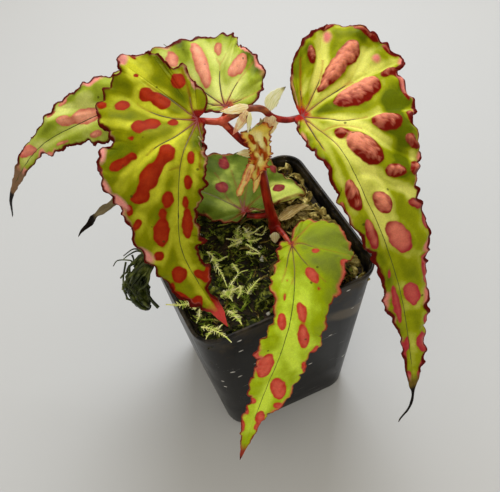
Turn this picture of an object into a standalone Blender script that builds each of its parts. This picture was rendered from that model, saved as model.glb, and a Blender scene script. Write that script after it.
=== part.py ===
"""Potted begonia: a small plant with five long spotted leaves in a square black nursery pot.

The model stands on its pot with the origin at the middle of the pot's underside. +Z is up, +X runs along
the pot's front wall and +Y points to its back wall. Sizes below are real millimetres and MM turns them
into Blender's metres.
"""
import math
from dataclasses import dataclass

import bmesh
import bpy
from mathutils import Vector, noise

PART = "potted_begonia"
CUTTERS = "cutters"
MM = 0.001

# Pot: thin black plastic, square, wider at the top, with round corners and a thin lip.
POT_HEIGHT = 86.0
POT_BASE_SIDE = 56.0
POT_TOP_SIDE = 76.0
POT_WALL = 1.1
POT_CORNER = 9.0
POT_FOOT_EDGE = 1.6
POT_WALL_BULGE = 0.9
POT_LEVELS = (14, 28, 42, 56, 70)
POT_UPRIGHTS = (-14, 0, 14)
LIP_HEIGHT = 2.2
LIP_STEP = 0.5
LIP_PROUD = 0.7
DRAIN_RADIUS = 4.0
DRAIN_OFFSET = 17.5
DRAIN_DEPTH = 10.0
CORNER_STEPS = 6

# Growing medium: fills the pot to a few millimetres under the lip.
GAP = 0.35
MEDIUM_FOOT_ROOM = 0.5
MEDIUM_TOP = 78.5
MEDIUM_RISE = 2.2
MEDIUM_BUMP = 1.3
MEDIUM_BUMP_SIZE = 9.0
MEDIUM_RINGS = 7

# Stem: one main stem with swollen joints, and a petiole to each leaf. Each row is points and radii.
STEM_ROOT = (11.6, 2.1, 64.0)
STEM_HOLE_RADIUS = 2.9
LOW_JOINT = (11.5, 1.6, 87.0)
MID_JOINT = (8.0, 3.4, 129.0)
TOP_JOINT = (-2.5, 6.9, 145.0)
MAIN_STEM = [STEM_ROOT, LOW_JOINT, (10.4, 2.5, 97), (9.2, 2.9, 114), MID_JOINT, (3.5, 4.8, 134.5), TOP_JOINT]
MAIN_STEM_RADII = [2.2, 2.2, 2.0, 1.9, 1.7, 1.5, 1.4]
JOINTS = [("low_joint", LOW_JOINT, 2.2), ("mid_joint", MID_JOINT, 1.8), ("top_joint", TOP_JOINT, 1.5)]
JOINT_SWELL = 1.2
PETIOLES = [
    ("petiole_right", [TOP_JOINT, (0.9, 5.5, 147), (6.2, 3.6, 149.3), (11.1, 1.9, 148.4), (14.4, 0.8, 144),
                       (19, -1, 142), (23.8, -2.2, 142.1)], [1.4, 1.3, 1.3, 1.3, 1.3, 1.2, 1.1]),
    ("petiole_left", [TOP_JOINT, (-5.5, 8.6, 144.9), (-9.2, 11.4, 145)], [1.4, 1.3, 1.2]),
    ("petiole_back", [TOP_JOINT, (-1, 8.6, 145), (1.5, 10.6, 146)], [1.2, 1.2, 1.1]),
    ("petiole_front", [LOW_JOINT, (12, -4.5, 88.5), (12, -13, 89)], [1.5, 1.3, 1.2]),
    ("petiole_low_back", [(10.5, 2.4, 93.5), (6, 5.4, 92), (2.2, 7.2, 92.9)], [1.3, 1.2, 1.1]),
    ("petiole_young", [(5.5, 3.8, 149), (4.8, 0.5, 149.5), (4.1, -1.6, 147.5), (3.9, -2, 145.3)],
     [0.8, 0.7, 0.7, 0.7]),
]

# Leaves: blade thickness, mesh steps and the teeth and waves of their margins.
BLADE = 0.7
PAPERY_BLADE = 0.6
BLADE_COLUMNS = 26
TAPER_WIDTH = 6.0
TOOTH = 0.8
WAVE = 1.2
WAVE_LENGTH = 24.0
JOIN_DISTANCE = 0.00002
PATH_SPANS = 12
TUBE_SPANS = 4

# Colours, as linear red, green and blue.
LIME = (0.33, 0.42, 0.06)
DARK_GREEN = (0.16, 0.3, 0.07)
OCHRE = (0.55, 0.4, 0.08)
STEM_RED = (0.2, 0.02, 0.015)
CREAM = (0.75, 0.62, 0.4)
DRY = (0.2, 0.15, 0.06)
MOSS_GREEN = (0.08, 0.09, 0.02)
BLACK = (0.02, 0.02, 0.022)
EARTH = (0.05, 0.04, 0.02)


@dataclass
class Blade:
    """One leaf blade, laid out flat and then bent along its midrib.

    spine: midrib points from one behind the stalk's end, over the stalk's end itself, to the tip
    facing: direction that the upper side faces at each spine point
    left, right: margins seen from above with the tip ahead, as (along the midrib, across it), up to the
        last point before the tip
    curl: droop of the left and right half, in radians a millimetre
    fans: mesh columns of the left and right half that meet at the stalk's end
    rows: mesh rows of the left and right half
    """
    spine: list
    facing: list
    left: list
    right: list
    curl: tuple = (0.01, 0.01)
    fans: tuple = (3, 3)
    rows: tuple = (4, 4)
    columns: int = BLADE_COLUMNS
    thickness: float = BLADE
    tooth: float = TOOTH
    wave: float = WAVE
    colour: tuple = LIME


LEAVES = {
    "leaf_right": Blade(
        spine=[(19, 20, 154), (23.5, -3, 144), (26.5, -26, 145.5), (27.5, -43, 135),
               (30.5, -54, 116), (33, -63, 88), (31.5, -74, 52), (25, -75.5, 38.5)],
        facing=[(-0.15, -0.4, 0.9), (-0.1, -0.35, 0.9), (0.1, -0.45, 0.9), (0.15, -0.7, 0.7),
                (0.1, -0.9, 0.4), (0, -1, 0.3), (-0.1, -1, 0.3), (-0.1, -1, 0.3)],
        left=[(-3, 0.5), (-13, 5), (-22, 15), (-24, 28), (-17, 39), (-4, 45), (4, 44.5), (7, 39), (19, 36.5),
              (26, 30), (39, 28), (46, 21), (63, 18.5), (78, 13), (100, 8.5), (118, 5.5), (130, 2),
              (138, 0.7)],
        right=[(0, -2.5), (12, -7), (30, -8.7), (48, -9), (68, -6), (86, -7), (102, -3.5), (118, -2.5),
               (130, -1.2), (138, -0.7)],
        curl=(0.004, 0.012), fans=(16, 2), rows=(7, 3)),
    "leaf_left": Blade(
        spine=[(8, 27, 158), (-9.7, 10.7, 147), (-22, -3, 145), (-29, -12, 132),
               (-32, -16, 116), (-30.5, -25, 104.5), (-26.5, -38.5, 92)],
        facing=[(-0.3, -0.45, 0.8), (-0.3, -0.5, 0.8), (-0.4, -0.6, 0.7), (-0.45, -0.8, 0.4),
                (-0.4, -0.9, 0.4), (-0.3, -0.8, 0.5), (-0.3, -0.7, 0.6)],
        left=[(0, 2.5), (10, 5.5), (18, 8.5), (27, 9.5), (37, 6.5), (46, 7), (51, 9), (56, 5), (66, 6),
              (72, 1.5), (77, 3)],
        right=[(-3, 1.5), (-9, 0), (-14, -8), (-18, -12), (-16, -16), (-20, -24), (-18, -32), (-14, -37.5),
               (-10, -34.5), (-2, -38), (9, -35.5), (16, -26.5), (21, -30.5), (32, -26), (42, -19.5),
               (57, -12.5), (68, -9), (79, -2.5)],
        curl=(0.012, 0.004), fans=(2, 16), rows=(3, 7)),
    "leaf_front": Blade(
        spine=[(21, 5, 88), (12, -13.5, 91), (5, -30, 94.5), (-3, -43, 90.5),
               (-11, -48.5, 77.5), (-22, -50, 53), (-36, -54.5, 25)],
        facing=[(0, 0, 1), (0, -0.1, 1), (0, -0.25, 1), (-0.1, -0.8, 0.7),
                (-0.1, -1, 0.3), (-0.2, -1, 0.2), (-0.2, -1, 0.2)],
        left=[(-3, 0), (-9, 1), (-15, 6), (-14, 15), (-6, 21.5), (5, 24), (15, 19), (24, 17.5), (29, 14),
              (41, 14), (48, 17), (53, 11), (59, 13), (68, 12.5), (80, 8.5), (85, 5), (97, 2)],
        right=[(-1, -2.5), (0, -4.5), (12, -7), (25, -9), (37, -6), (51, -10.5), (56, -7.5), (70, -7.5),
               (77, -4.5), (90, -5), (97, -3)],
        curl=(0.01, 0.01), fans=(13, 2), rows=(5, 3)),
    "leaf_back": Blade(
        spine=[(26, 1.5, 148), (1.5, 10, 148), (-20.5, 31.5, 145.5), (-44.5, 41.5, 137.5),
               (-64, 50.5, 125), (-79, 58, 102.5), (-83, 63.5, 84)],
        facing=[(0, -0.3, 1), (0, -0.4, 1), (-0.1, -0.5, 1), (-0.3, -0.5, 0.9),
                (-0.6, -0.4, 0.6), (-0.7, -0.6, 0.3), (-0.7, -0.7, 0.2)],
        left=[(0, 2.5), (12, 4), (22, 8), (38, 10.5), (54, 11), (62, 7), (76, 6), (82, 3), (97, 1.8), (112, 1.5)],
        right=[(-3, 1), (-9, 0), (-13.5, -6), (-15.5, -15), (-10, -24), (0, -28.5), (11, -31.5), (22, -28),
               (30, -20), (44, -13), (50, -14), (65, -12.5), (76, -7), (96, -6), (112, -2.5)],
        curl=(0.012, 0.004), fans=(2, 12), rows=(3, 6)),
    "leaf_low_back": Blade(
        spine=[(14, -8, 92), (2, 7, 95), (-12, 25.5, 98), (-35, 39, 95.5), (-51, 42, 89), (-61, 42.5, 80)],
        facing=[(0, 0, 1), (0, 0, 1), (0, 0, 1), (-0.2, -0.1, 1), (-0.5, -0.3, 0.8), (-0.6, -0.4, 0.6)],
        left=[(0, 2.5), (0, 6.5), (6, 9.5), (17, 10), (35, 7), (50, 4), (60, 2.5), (70, 1.5)],
        right=[(-1, -2.5), (-7, -4), (-9, -11), (-14, -18), (-16.5, -21), (-8, -27), (2, -30), (16, -33),
               (22, -25), (30, -16), (45, -7), (60, -3), (72, -2.5)],
        curl=(0.012, 0.008), fans=(4, 12), rows=(3, 6), columns=20, colour=DARK_GREEN),
}

# The young leaf hangs folded from the arch of the stem. Its edge is more toothed than a grown leaf's.
YOUNG_LEAF = Blade(
    spine=[(3.6, -2.4, 150), (3.9, -2.4, 144.3), (5.6, -2.6, 136.7), (5.9, -2.6, 129.2), (3.9, -2, 121),
           (-1.7, 0, 113.7)],
    facing=[(0.2, -1, 0), (0.2, -1, 0.1), (-0.2, -1, 0.1), (-0.4, -1, 0.1), (-0.2, -1, 0.2), (0, -1, 0.3)],
    left=[(0, 1), (3, 2.6), (9, 3.6), (15, 3.2), (22, 2.6), (28, 3)],
    right=[(0, -1), (3, -2.4), (9, -3.2), (15, -3.4), (22, -2.4), (28, -2.6)],
    curl=(0.16, 0.2), fans=(0, 0), rows=(3, 3), columns=22, thickness=PAPERY_BLADE, tooth=0.5, wave=0.5,
    colour=OCHRE)

# Stipules: papery scales at the joints. Each row is a spine with its point behind the base, the direction
# that it faces and half its width.
STIPULES = [
    ([(13, 1, 146.6), (13.9, 1.6, 147.9), (16, 2.6, 149.2), (18.8, 3.6, 151.2), (22.9, 3.4, 153.6)],
     (-0.3, -0.9, 0.4), 2.0),
    ([(11, 0.4, 148), (11.4, -0.6, 145.6), (12, -0.4, 139.5), (11.8, 0.3, 133.5)], (-0.3, -0.9, 0.2), 2.2),
    ([(8, 3.2, 151), (6, 3, 151.4), (2.1, 4, 152.6), (-2.6, 5.6, 152.6)], (0, -0.6, 0.8), 1.6),
    ([(3.6, 2.9, 149), (3.3, 3, 146.5), (2.2, 2.4, 143.6), (-0.8, 2.6, 140.3)], (-0.3, -0.9, 0.3), 1.6),
    ([(7, 1.8, 128.6), (5.5, 1.6, 129.6), (2.4, 1.6, 131.6), (-0.7, 1.6, 132.7)], (0, -0.7, 0.7), 1.5),
    ([(10.4, -0.8, 89), (9.9, -2.1, 87.4), (9.3, -3.1, 85.4), (9, -3.6, 82.8)], (-0.4, -0.9, 0.4), 1.6),
    ([(12, 2, 87), (14.4, 3, 87.5), (22.6, 5, 88), (29, 5.1, 86.6)], (0, -0.3, 1), 2.4),
]

# Litter: dry leaves on the medium at the back right. Each row is like a stipule's.
LITTER = [
    ([(15, 12, 80.8), (18, 11, 80.6), (25, 8, 81.6), (33, 8, 81.2)], (0, -0.2, 1), 4.0),
    ([(19, 2, 80.4), (21, -1, 80.1), (26, -6, 80.9), (31, -12, 80.2)], (-0.1, 0, 1), 4.0),
    ([(33, -14, 80), (32, -17, 79.7), (29, -22, 80.4), (28, -29, 79.6)], (-0.1, 0, 1), 3.0),
]

# A clump of moss that hangs over the pot's left wall.
MOSS_PATH = [(-28, 11, 81.9), (-33, 10, 87.4), (-38.5, 9, 89.5), (-44, 7, 87), (-48, 6, 81), (-48.5, 4, 75),
             (-47, 3, 68)]
MOSS_RADII = [2.2, 2.4, 2.5, 3.2, 5.4, 5.0, 1.6]


def line_through(points, spans=PATH_SPANS):
    """Points on a smooth curve through the given points, spans of them for each stretch."""
    knots = [Vector(p) for p in points]
    knots = [2 * knots[0] - knots[1]] + knots + [2 * knots[-1] - knots[-2]]
    line = []
    for a, b, c, d in zip(knots, knots[1:], knots[2:], knots[3:]):
        for step in range(spans):
            t = step / spans
            line.append(0.5 * (2 * b + (c - a) * t + (2 * a - 5 * b + 4 * c - d) * t ** 2
                               + (3 * b - a - 3 * c + d) * t ** 3))
    line.append(knots[-2])
    return line


class Path:
    """A smooth line that is read by the distance along it, measured from one of its points."""

    def __init__(self, points, start=0):
        self.line = line_through(points)
        self.marks = [0.0]
        for a, b in zip(self.line, self.line[1:]):
            self.marks.append(self.marks[-1] + (b - a).length)
        origin = self.marks[start * PATH_SPANS]
        self.marks = [mark - origin for mark in self.marks]
        self.length = self.marks[-1]

    def at(self, distance, line=None):
        """The value at a distance along the path, of its own line or of one with as many points."""
        line = line or self.line
        index = 0
        while index < len(self.marks) - 2 and self.marks[index + 1] < distance:
            index += 1
        low, high = self.marks[index], self.marks[index + 1]
        return line[index].lerp(line[index + 1], (distance - low) / (high - low))

    def ahead(self, distance):
        """The direction of the path at a distance along it."""
        reach = 1.5
        return (self.at(distance + reach) - self.at(distance - reach)).normalized()


def bend_blade(midrib, facing, curl, along, across, lift):
    """The place in space of a point of the flat blade, raised off its surface by lift."""
    ahead = midrib.ahead(along)
    up = midrib.at(max(midrib.marks[0], min(along, midrib.length)), facing)
    up = (up - up.dot(ahead) * ahead).normalized()
    side = up.cross(ahead)
    turn = curl[0] if across > 0 else curl[1]
    angle = turn * across
    surface = midrib.at(along) + side * math.sin(angle) / turn - up * (1 - math.cos(angle)) / turn
    return surface + lift * (up * math.cos(angle) + side * math.sin(angle))


def margin_point(blade, margin, column, columns):
    """A flat point on the toothed margin and the wave that lifts it, at a mesh column."""
    distance = margin.length * column / columns
    point = margin.at(distance)
    if column in (0, columns):
        return point, 0.0
    ahead = margin.ahead(distance)
    outward = Vector((-ahead.y, ahead.x, 0)) * (1 if point.y > 0 else -1)
    width = min(1.0, abs(point.y) / TAPER_WIDTH)
    tooth = blade.tooth * width * (1 if column % 2 else -1)
    wave = blade.wave * width * math.sin(2 * math.pi * distance / WAVE_LENGTH)
    return point + outward * tooth, wave


def add_half(mesh, blade, midrib, facing, margin, half):
    """Adds one half of a blade as a bent grid that runs from the midrib to the margin."""
    fan, rows = blade.fans[half], blade.rows[half]
    columns = fan + blade.columns
    grid = bmesh.ops.create_grid(mesh, x_segments=columns, y_segments=rows, size=0.5)
    for corner in grid["verts"]:
        column = round((corner.co.x + 0.5) * columns)
        share = round((corner.co.y + 0.5) * rows) / rows
        root = midrib.length * max(0, column - fan) / blade.columns
        edge, wave = margin_point(blade, margin, column, columns)
        along = root + (edge.x - root) * share
        corner.co = MM * bend_blade(midrib, facing, blade.curl, along, edge.y * share, wave * share ** 2)


def make_blade(name, blade):
    """One leaf or bract: two bent halves joined at the midrib and given their thickness."""
    midrib = Path(blade.spine, start=1)
    facing = line_through(blade.facing)
    mesh = bmesh.new()
    for half, outline in enumerate((blade.left, blade.right)):
        margin = Path([(along, across, 0) for along, across in outline + [(midrib.length, 0)]])
        add_half(mesh, blade, midrib, facing, margin, half)
    bmesh.ops.remove_doubles(mesh, verts=mesh.verts, dist=JOIN_DISTANCE)
    bmesh.ops.recalc_face_normals(mesh, faces=mesh.faces)
    bmesh.ops.triangulate(mesh, faces=mesh.faces)
    leaf = add_object(name, mesh, blade.colour, roughness=0.4)
    thicken(leaf, blade.thickness, offset=0)
    return leaf


def bract(spine, facing, width, colour):
    """A small papery blade with a plain pointed outline, as wide on each side of its middle as width."""
    length = Path(spine, start=1).length
    left = [(0, 0.35 * width), (0.3 * length, width), (0.7 * length, 0.6 * width)]
    right = [(along, -across) for along, across in left]
    return Blade(spine=spine, facing=[facing] * len(spine), left=left, right=right, curl=(0.12, 0.12),
                 fans=(0, 0), rows=(2, 2), columns=7, thickness=PAPERY_BLADE, tooth=0.15, wave=0, colour=colour)


def material(name, colour, roughness, metallic=0.0):
    """A plain surface of one colour."""
    finish = bpy.data.materials.new(name)
    finish.use_nodes = True
    shader = finish.node_tree.nodes["Principled BSDF"]
    shader.inputs["Base Color"].default_value = (*colour, 1.0)
    shader.inputs["Roughness"].default_value = roughness
    shader.inputs["Metallic"].default_value = metallic
    return finish


def add_object(name, mesh, colour, roughness, home=None):
    """Turns an edit mesh into a named object with its own material, smooth where it is round."""
    data = bpy.data.meshes.new(name)
    mesh.to_mesh(data)
    mesh.free()
    data.shade_smooth()
    data.set_sharp_from_angle(angle=math.radians(35))
    data.materials.append(material(name, colour, roughness))
    made = bpy.data.objects.new(name, data)
    (home or bpy.data.collections[PART]).objects.link(made)
    return made


def add_cutter(name, centre, radius, depth, segments):
    """A hidden upright cylinder that cuts a hole."""
    bpy.ops.mesh.primitive_cylinder_add(vertices=segments, radius=radius * MM, depth=depth * MM,
                                        location=[value * MM for value in centre])
    cutter = bpy.context.object
    cutter.name = name
    bpy.context.collection.objects.unlink(cutter)
    bpy.data.collections[CUTTERS].objects.link(cutter)
    cutter.hide_render = True
    cutter.display_type = "WIRE"
    return cutter


def thicken(thing, thickness, offset):
    """Gives an open surface its thickness."""
    wall = thing.modifiers.new("thickness", "SOLIDIFY")
    wall.thickness = thickness * MM
    wall.offset = offset
    wall.use_even_offset = offset != 0


def cut(thing, cutter):
    """Cuts a hole that stays live on the object."""
    hole = thing.modifiers.new(cutter.name, "BOOLEAN")
    hole.operation = "DIFFERENCE"
    hole.object = cutter


def box_at(bottom_half, top_half, bottom, top, corner):
    """An edit mesh of a tapered square block with rounded upright edges."""
    mesh = bmesh.new()
    bmesh.ops.create_cube(mesh, size=2)
    for vert in mesh.verts:
        half = top_half if vert.co.z > 0 else bottom_half
        vert.co = Vector((vert.co.x * half, vert.co.y * half, top if vert.co.z > 0 else bottom)) * MM
    mesh.normal_update()
    upright = [edge for edge in mesh.edges if abs(edge.verts[0].co.z - edge.verts[1].co.z) > MM]
    bmesh.ops.bevel(mesh, geom=upright, offset=corner * MM, segments=CORNER_STEPS, profile=0.5, affect="EDGES")
    return mesh


def flat_faces(mesh, height):
    """The faces of a mesh that lie level at a height."""
    return [face for face in mesh.faces
            if all(abs(vert.co.z - height * MM) < JOIN_DISTANCE for vert in face.verts)]


def slice_at(mesh, axis, places):
    """Cuts new edges through a mesh at places along an axis."""
    for place in places:
        point = Vector((0, 0, 0))
        point[axis] = place * MM
        normal = Vector((0, 0, 0))
        normal[axis] = 1
        geometry = mesh.verts[:] + mesh.edges[:] + mesh.faces[:]
        bmesh.ops.bisect_plane(mesh, geom=geometry, plane_co=point, plane_no=normal, dist=JOIN_DISTANCE)


def swell_walls(mesh):
    """Bows the pot's walls out a little and sets its lip proud."""
    for vert in mesh.verts:
        height = vert.co.z / (POT_HEIGHT * MM)
        half = MM * (POT_BASE_SIDE + (POT_TOP_SIDE - POT_BASE_SIDE) * height) / 2
        outward = Vector((vert.co.x, vert.co.y, 0))
        bow = POT_WALL_BULGE * 4 * height * (1 - height)
        for axis in (0, 1):
            if abs(abs(vert.co[axis]) - half) < JOIN_DISTANCE:
                vert.co[axis] += math.copysign(MM * bow * (1 - (vert.co[1 - axis] / half) ** 2), vert.co[axis])
        if vert.co.z > MM * (POT_HEIGHT - LIP_HEIGHT - LIP_STEP / 2):
            vert.co += outward.normalized() * LIP_PROUD * MM


def make_pot():
    """The pot: a thin open shell with a bowed wall, a proud lip and four drain holes."""
    mesh = box_at(POT_BASE_SIDE / 2, POT_TOP_SIDE / 2, 0, POT_HEIGHT, POT_CORNER)
    bmesh.ops.delete(mesh, geom=flat_faces(mesh, POT_HEIGHT), context="FACES")
    foot = [edge for face in flat_faces(mesh, 0) for edge in face.edges]
    bmesh.ops.bevel(mesh, geom=foot, offset=POT_FOOT_EDGE * MM, segments=2, profile=0.5, affect="EDGES")
    lip = POT_HEIGHT - LIP_HEIGHT
    slice_at(mesh, 2, (*POT_LEVELS, lip - LIP_STEP, lip))
    for axis in (0, 1):
        slice_at(mesh, axis, POT_UPRIGHTS)
    swell_walls(mesh)
    pot = add_object("pot", mesh, BLACK, roughness=0.35)
    thicken(pot, POT_WALL, offset=-1)
    for number, (x, y) in enumerate([(-1, -1), (1, -1), (1, 1), (-1, 1)]):
        centre = (x * DRAIN_OFFSET, y * DRAIN_OFFSET, 0)
        cut(pot, add_cutter(f"drain_{number}", centre, DRAIN_RADIUS, DRAIN_DEPTH, segments=16))


def make_medium():
    """The growing medium: fills the pot, with a lumpy top that rises to the back right."""
    inset = POT_WALL + GAP
    slope = (POT_TOP_SIDE - POT_BASE_SIDE) / 2 / POT_HEIGHT
    low_half = POT_BASE_SIDE / 2 + slope * inset - inset - MEDIUM_FOOT_ROOM
    top_half = POT_BASE_SIDE / 2 + slope * MEDIUM_TOP - inset
    mesh = box_at(low_half, top_half, inset, MEDIUM_TOP, POT_CORNER)
    top = flat_faces(mesh, MEDIUM_TOP)
    for ring in range(MEDIUM_RINGS, 1, -1):
        bmesh.ops.inset_region(mesh, faces=top, thickness=0)
        for vert in top[0].verts:
            vert.co.xy *= (ring - 1) / ring
    for vert in mesh.verts:
        if abs(vert.co.z - MEDIUM_TOP * MM) < JOIN_DISTANCE:
            vert.co.z += MM * medium_bump(vert.co.x / MM, vert.co.y / MM)
    medium = add_object("growing_medium", mesh, EARTH, roughness=0.95)
    x, y, _ = STEM_ROOT
    depth = 2 * (MEDIUM_TOP - STEM_ROOT[2] + GAP)
    cut(medium, add_cutter("stem_hole", (x, y, MEDIUM_TOP), STEM_HOLE_RADIUS, depth, segments=10))


def medium_bump(x, y):
    """Height of the medium's surface over its lowest level, in millimetres."""
    lumps = noise.noise(Vector((x, y, 0)) / MEDIUM_BUMP_SIZE) * MEDIUM_BUMP
    return lumps + MEDIUM_RISE * max(0.0, (x + y) / POT_TOP_SIDE)


def make_tube(name, points, radii, home, colour):
    """A closed tapering tube along a smooth line, as a mesh object."""
    line = line_through(points, TUBE_SPANS)
    widths = line_through([(radius, 0, 0) for radius in radii], TUBE_SPANS)
    curve = bpy.data.curves.new(name, "CURVE")
    curve.dimensions = "3D"
    curve.bevel_depth = MM
    curve.bevel_resolution = 2
    curve.use_fill_caps = True
    spline = curve.splines.new("POLY")
    spline.points.add(len(line) - 1)
    for point, place, width in zip(spline.points, line, widths):
        point.co = (*(place * MM), 1)
        point.radius = width.x
    wire = bpy.data.objects.new(name + "_line", curve)
    home.objects.link(wire)
    evaluated = wire.evaluated_get(bpy.context.evaluated_depsgraph_get())
    mesh = bmesh.new()
    mesh.from_mesh(bpy.data.meshes.new_from_object(evaluated))
    bpy.data.objects.remove(wire)
    bmesh.ops.remove_doubles(mesh, verts=mesh.verts, dist=JOIN_DISTANCE)
    return add_object(name, mesh, colour, roughness=0.4, home=home)


def make_joint(name, centre, radius, home):
    """A swollen joint of the stem, as a small ball."""
    mesh = bmesh.new()
    bmesh.ops.create_uvsphere(mesh, u_segments=10, v_segments=6, radius=radius * MM)
    bmesh.ops.translate(mesh, verts=mesh.verts, vec=Vector(centre) * MM)
    return add_object(name, mesh, STEM_RED, roughness=0.4, home=home)


def make_stem():
    """The main stem with its joints and petioles, joined into one solid."""
    pieces = bpy.data.collections.new("stem pieces")
    bpy.context.scene.collection.children.link(pieces)
    for name, points, radii in PETIOLES:
        make_tube(name, points, radii, pieces, STEM_RED)
    for name, centre, radius in JOINTS:
        make_joint(name, centre, radius * JOINT_SWELL, pieces)
    stem = make_tube("stem", MAIN_STEM, MAIN_STEM_RADII, bpy.data.collections[PART], STEM_RED)
    union = stem.modifiers.new("petioles", "BOOLEAN")
    union.operation = "UNION"
    union.operand_type = "COLLECTION"
    union.collection = pieces
    evaluated = stem.evaluated_get(bpy.context.evaluated_depsgraph_get())
    joined = bpy.data.meshes.new_from_object(evaluated)
    stem.modifiers.clear()
    stem.data = joined
    for piece in list(pieces.objects):
        bpy.data.objects.remove(piece)
    bpy.data.collections.remove(pieces)


def clear_scene():
    """Empties the scene and makes the part's collection and the cutters' one."""
    for thing in list(bpy.data.objects):
        bpy.data.objects.remove(thing)
    for name in (PART, CUTTERS):
        home = bpy.data.collections.new(name)
        bpy.context.scene.collection.children.link(home)


def main():
    clear_scene()
    make_pot()
    make_medium()
    make_stem()
    for name, blade in LEAVES.items():
        make_blade(name, blade)
    make_blade("young_leaf", YOUNG_LEAF)
    for number, scale in enumerate(STIPULES, start=1):
        make_blade(f"stipule_{number}", bract(*scale, CREAM))
    for number, dry_leaf in enumerate(LITTER, start=1):
        make_blade(f"litter_leaf_{number}", bract(*dry_leaf, DRY))
    make_tube("moss_overhang", MOSS_PATH, MOSS_RADII, bpy.data.collections[PART], MOSS_GREEN)


main()
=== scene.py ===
"""Looks of a potted begonia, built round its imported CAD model.

The plant stands in the frame's own axes: the origin is the middle of the pot's underside, +Z is up, +X runs
along the pot's front wall and +Y points to its back wall. Every size below is in millimetres and MM turns it
into Blender's metres.
"""

import logging
import math
import random
from dataclasses import dataclass, field
from enum import Enum
from functools import partial
from typing import Callable, Protocol, Sequence

import bmesh
import bpy
import numpy as np
from mathutils import Matrix, Vector, noise


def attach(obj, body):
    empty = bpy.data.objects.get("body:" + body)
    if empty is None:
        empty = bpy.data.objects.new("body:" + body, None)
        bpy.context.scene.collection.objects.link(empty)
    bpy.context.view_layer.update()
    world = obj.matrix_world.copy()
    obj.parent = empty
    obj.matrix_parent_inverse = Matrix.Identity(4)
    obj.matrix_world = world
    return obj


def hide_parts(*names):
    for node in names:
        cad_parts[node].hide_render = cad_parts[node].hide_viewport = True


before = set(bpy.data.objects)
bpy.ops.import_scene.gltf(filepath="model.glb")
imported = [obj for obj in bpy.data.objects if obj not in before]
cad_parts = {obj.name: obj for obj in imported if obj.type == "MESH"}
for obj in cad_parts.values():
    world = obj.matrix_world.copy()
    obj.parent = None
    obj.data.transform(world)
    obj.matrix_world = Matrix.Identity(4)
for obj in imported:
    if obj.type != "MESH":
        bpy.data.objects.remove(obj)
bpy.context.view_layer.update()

MM = 0.001
BODY = "root"
LOG = logging.getLogger("potted_begonia")
# Where the stem stands on the medium, kept clear of moss and grains.
STEM_FOOT = (11.6, 2.1)

Point = tuple[float, float, float]
Flat = tuple[float, float]
Spot = tuple[float, float, float, float, float]
Piece = bpy.types.Object
Array = np.ndarray
Strand = tuple[Array, Array]


class Part(Enum):
    """What kind of thing is picked in edit mode."""

    POINT = "VERT"
    EDGE = "EDGE"
    FACE = "FACE"


class Finish(Protocol):
    """A real surface that makes its own material."""

    def material(self) -> bpy.types.Material:
        """Builds the node material."""


def linear(code: str) -> tuple[float, float, float, float]:
    """Turns an sRGB hex value into a linear colour.

    Args:
        code: the colour, such as "#9FC41B".

    Returns:
        Linear red, green and blue, and an alpha of one.
    """
    shares = [int(code[start:start + 2], 16) / 255 for start in (1, 3, 5)]
    red, green, blue = (s / 12.92 if s <= 0.04045 else ((s + 0.055) / 1.055) ** 2.4 for s in shares)
    return red, green, blue, 1.0


def feed(node: bpy.types.Node, inputs: dict) -> None:
    """Sets a node's inputs.

    Args:
        node: the node.
        inputs: by name or number, each a value, a colour such as "#9FC41B" or the socket that feeds it.
    """
    for key, value in inputs.items():
        if isinstance(value, bpy.types.NodeSocket):
            node.id_data.links.new(value, node.inputs[key])
        else:
            node.inputs[key].default_value = linear(value) if isinstance(value, str) else value


def add_node(tree: bpy.types.NodeTree, kind: str, inputs: dict, output: int | str = 0,
             **settings: object) -> bpy.types.NodeSocket:
    """Adds one node with its settings and links.

    A MapRange has its value as input 0, the range that it comes from as 1 and 2, and the range that it goes
    to as 3 and 4. A Mix of colours has its share as input 0, the colours as 6 and 7, and its result as 2.

    Args:
        tree: the material's node tree.
        kind: the node's type name without its ShaderNode prefix.
        inputs: its inputs, as feed takes them.
        output: the output that is wanted, by name or number.
        settings: its properties; "stops" are a colour ramp's places and sRGB colours.

    Returns:
        The wanted output's socket.
    """
    node = tree.nodes.new("ShaderNode" + kind)
    for key, value in settings.items():
        if key == "stops":
            while len(node.color_ramp.elements) < len(value):
                node.color_ramp.elements.new(0.5)
            for element, (place, tone) in zip(node.color_ramp.elements, value):
                element.position, element.color = place, linear(tone)
        else:
            setattr(node, key, value)
    feed(node, inputs)
    return node.outputs[output]


def new_material(name: str) -> tuple[bpy.types.Material, Callable, bpy.types.Node]:
    """Makes an empty material.

    Args:
        name: the material's name.

    Returns:
        The material, add_node for its own tree, and its Principled shader.
    """
    made = bpy.data.materials.new(name)
    made.use_nodes = True
    return made, partial(add_node, made.node_tree), made.node_tree.nodes["Principled BSDF"]


def new_object(name: str, data: bpy.types.ID) -> Piece:
    """Adds an object with this data to the scene."""
    thing = bpy.data.objects.new(name, data)
    bpy.context.scene.collection.objects.link(thing)
    return thing


def start_from(primitive: Callable, **sizes: object) -> Piece:
    """Adds a primitive to be shaped, with nothing else selected."""
    bpy.ops.object.select_all(action="DESELECT")
    primitive(**sizes)
    return bpy.context.view_layer.objects.active


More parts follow.
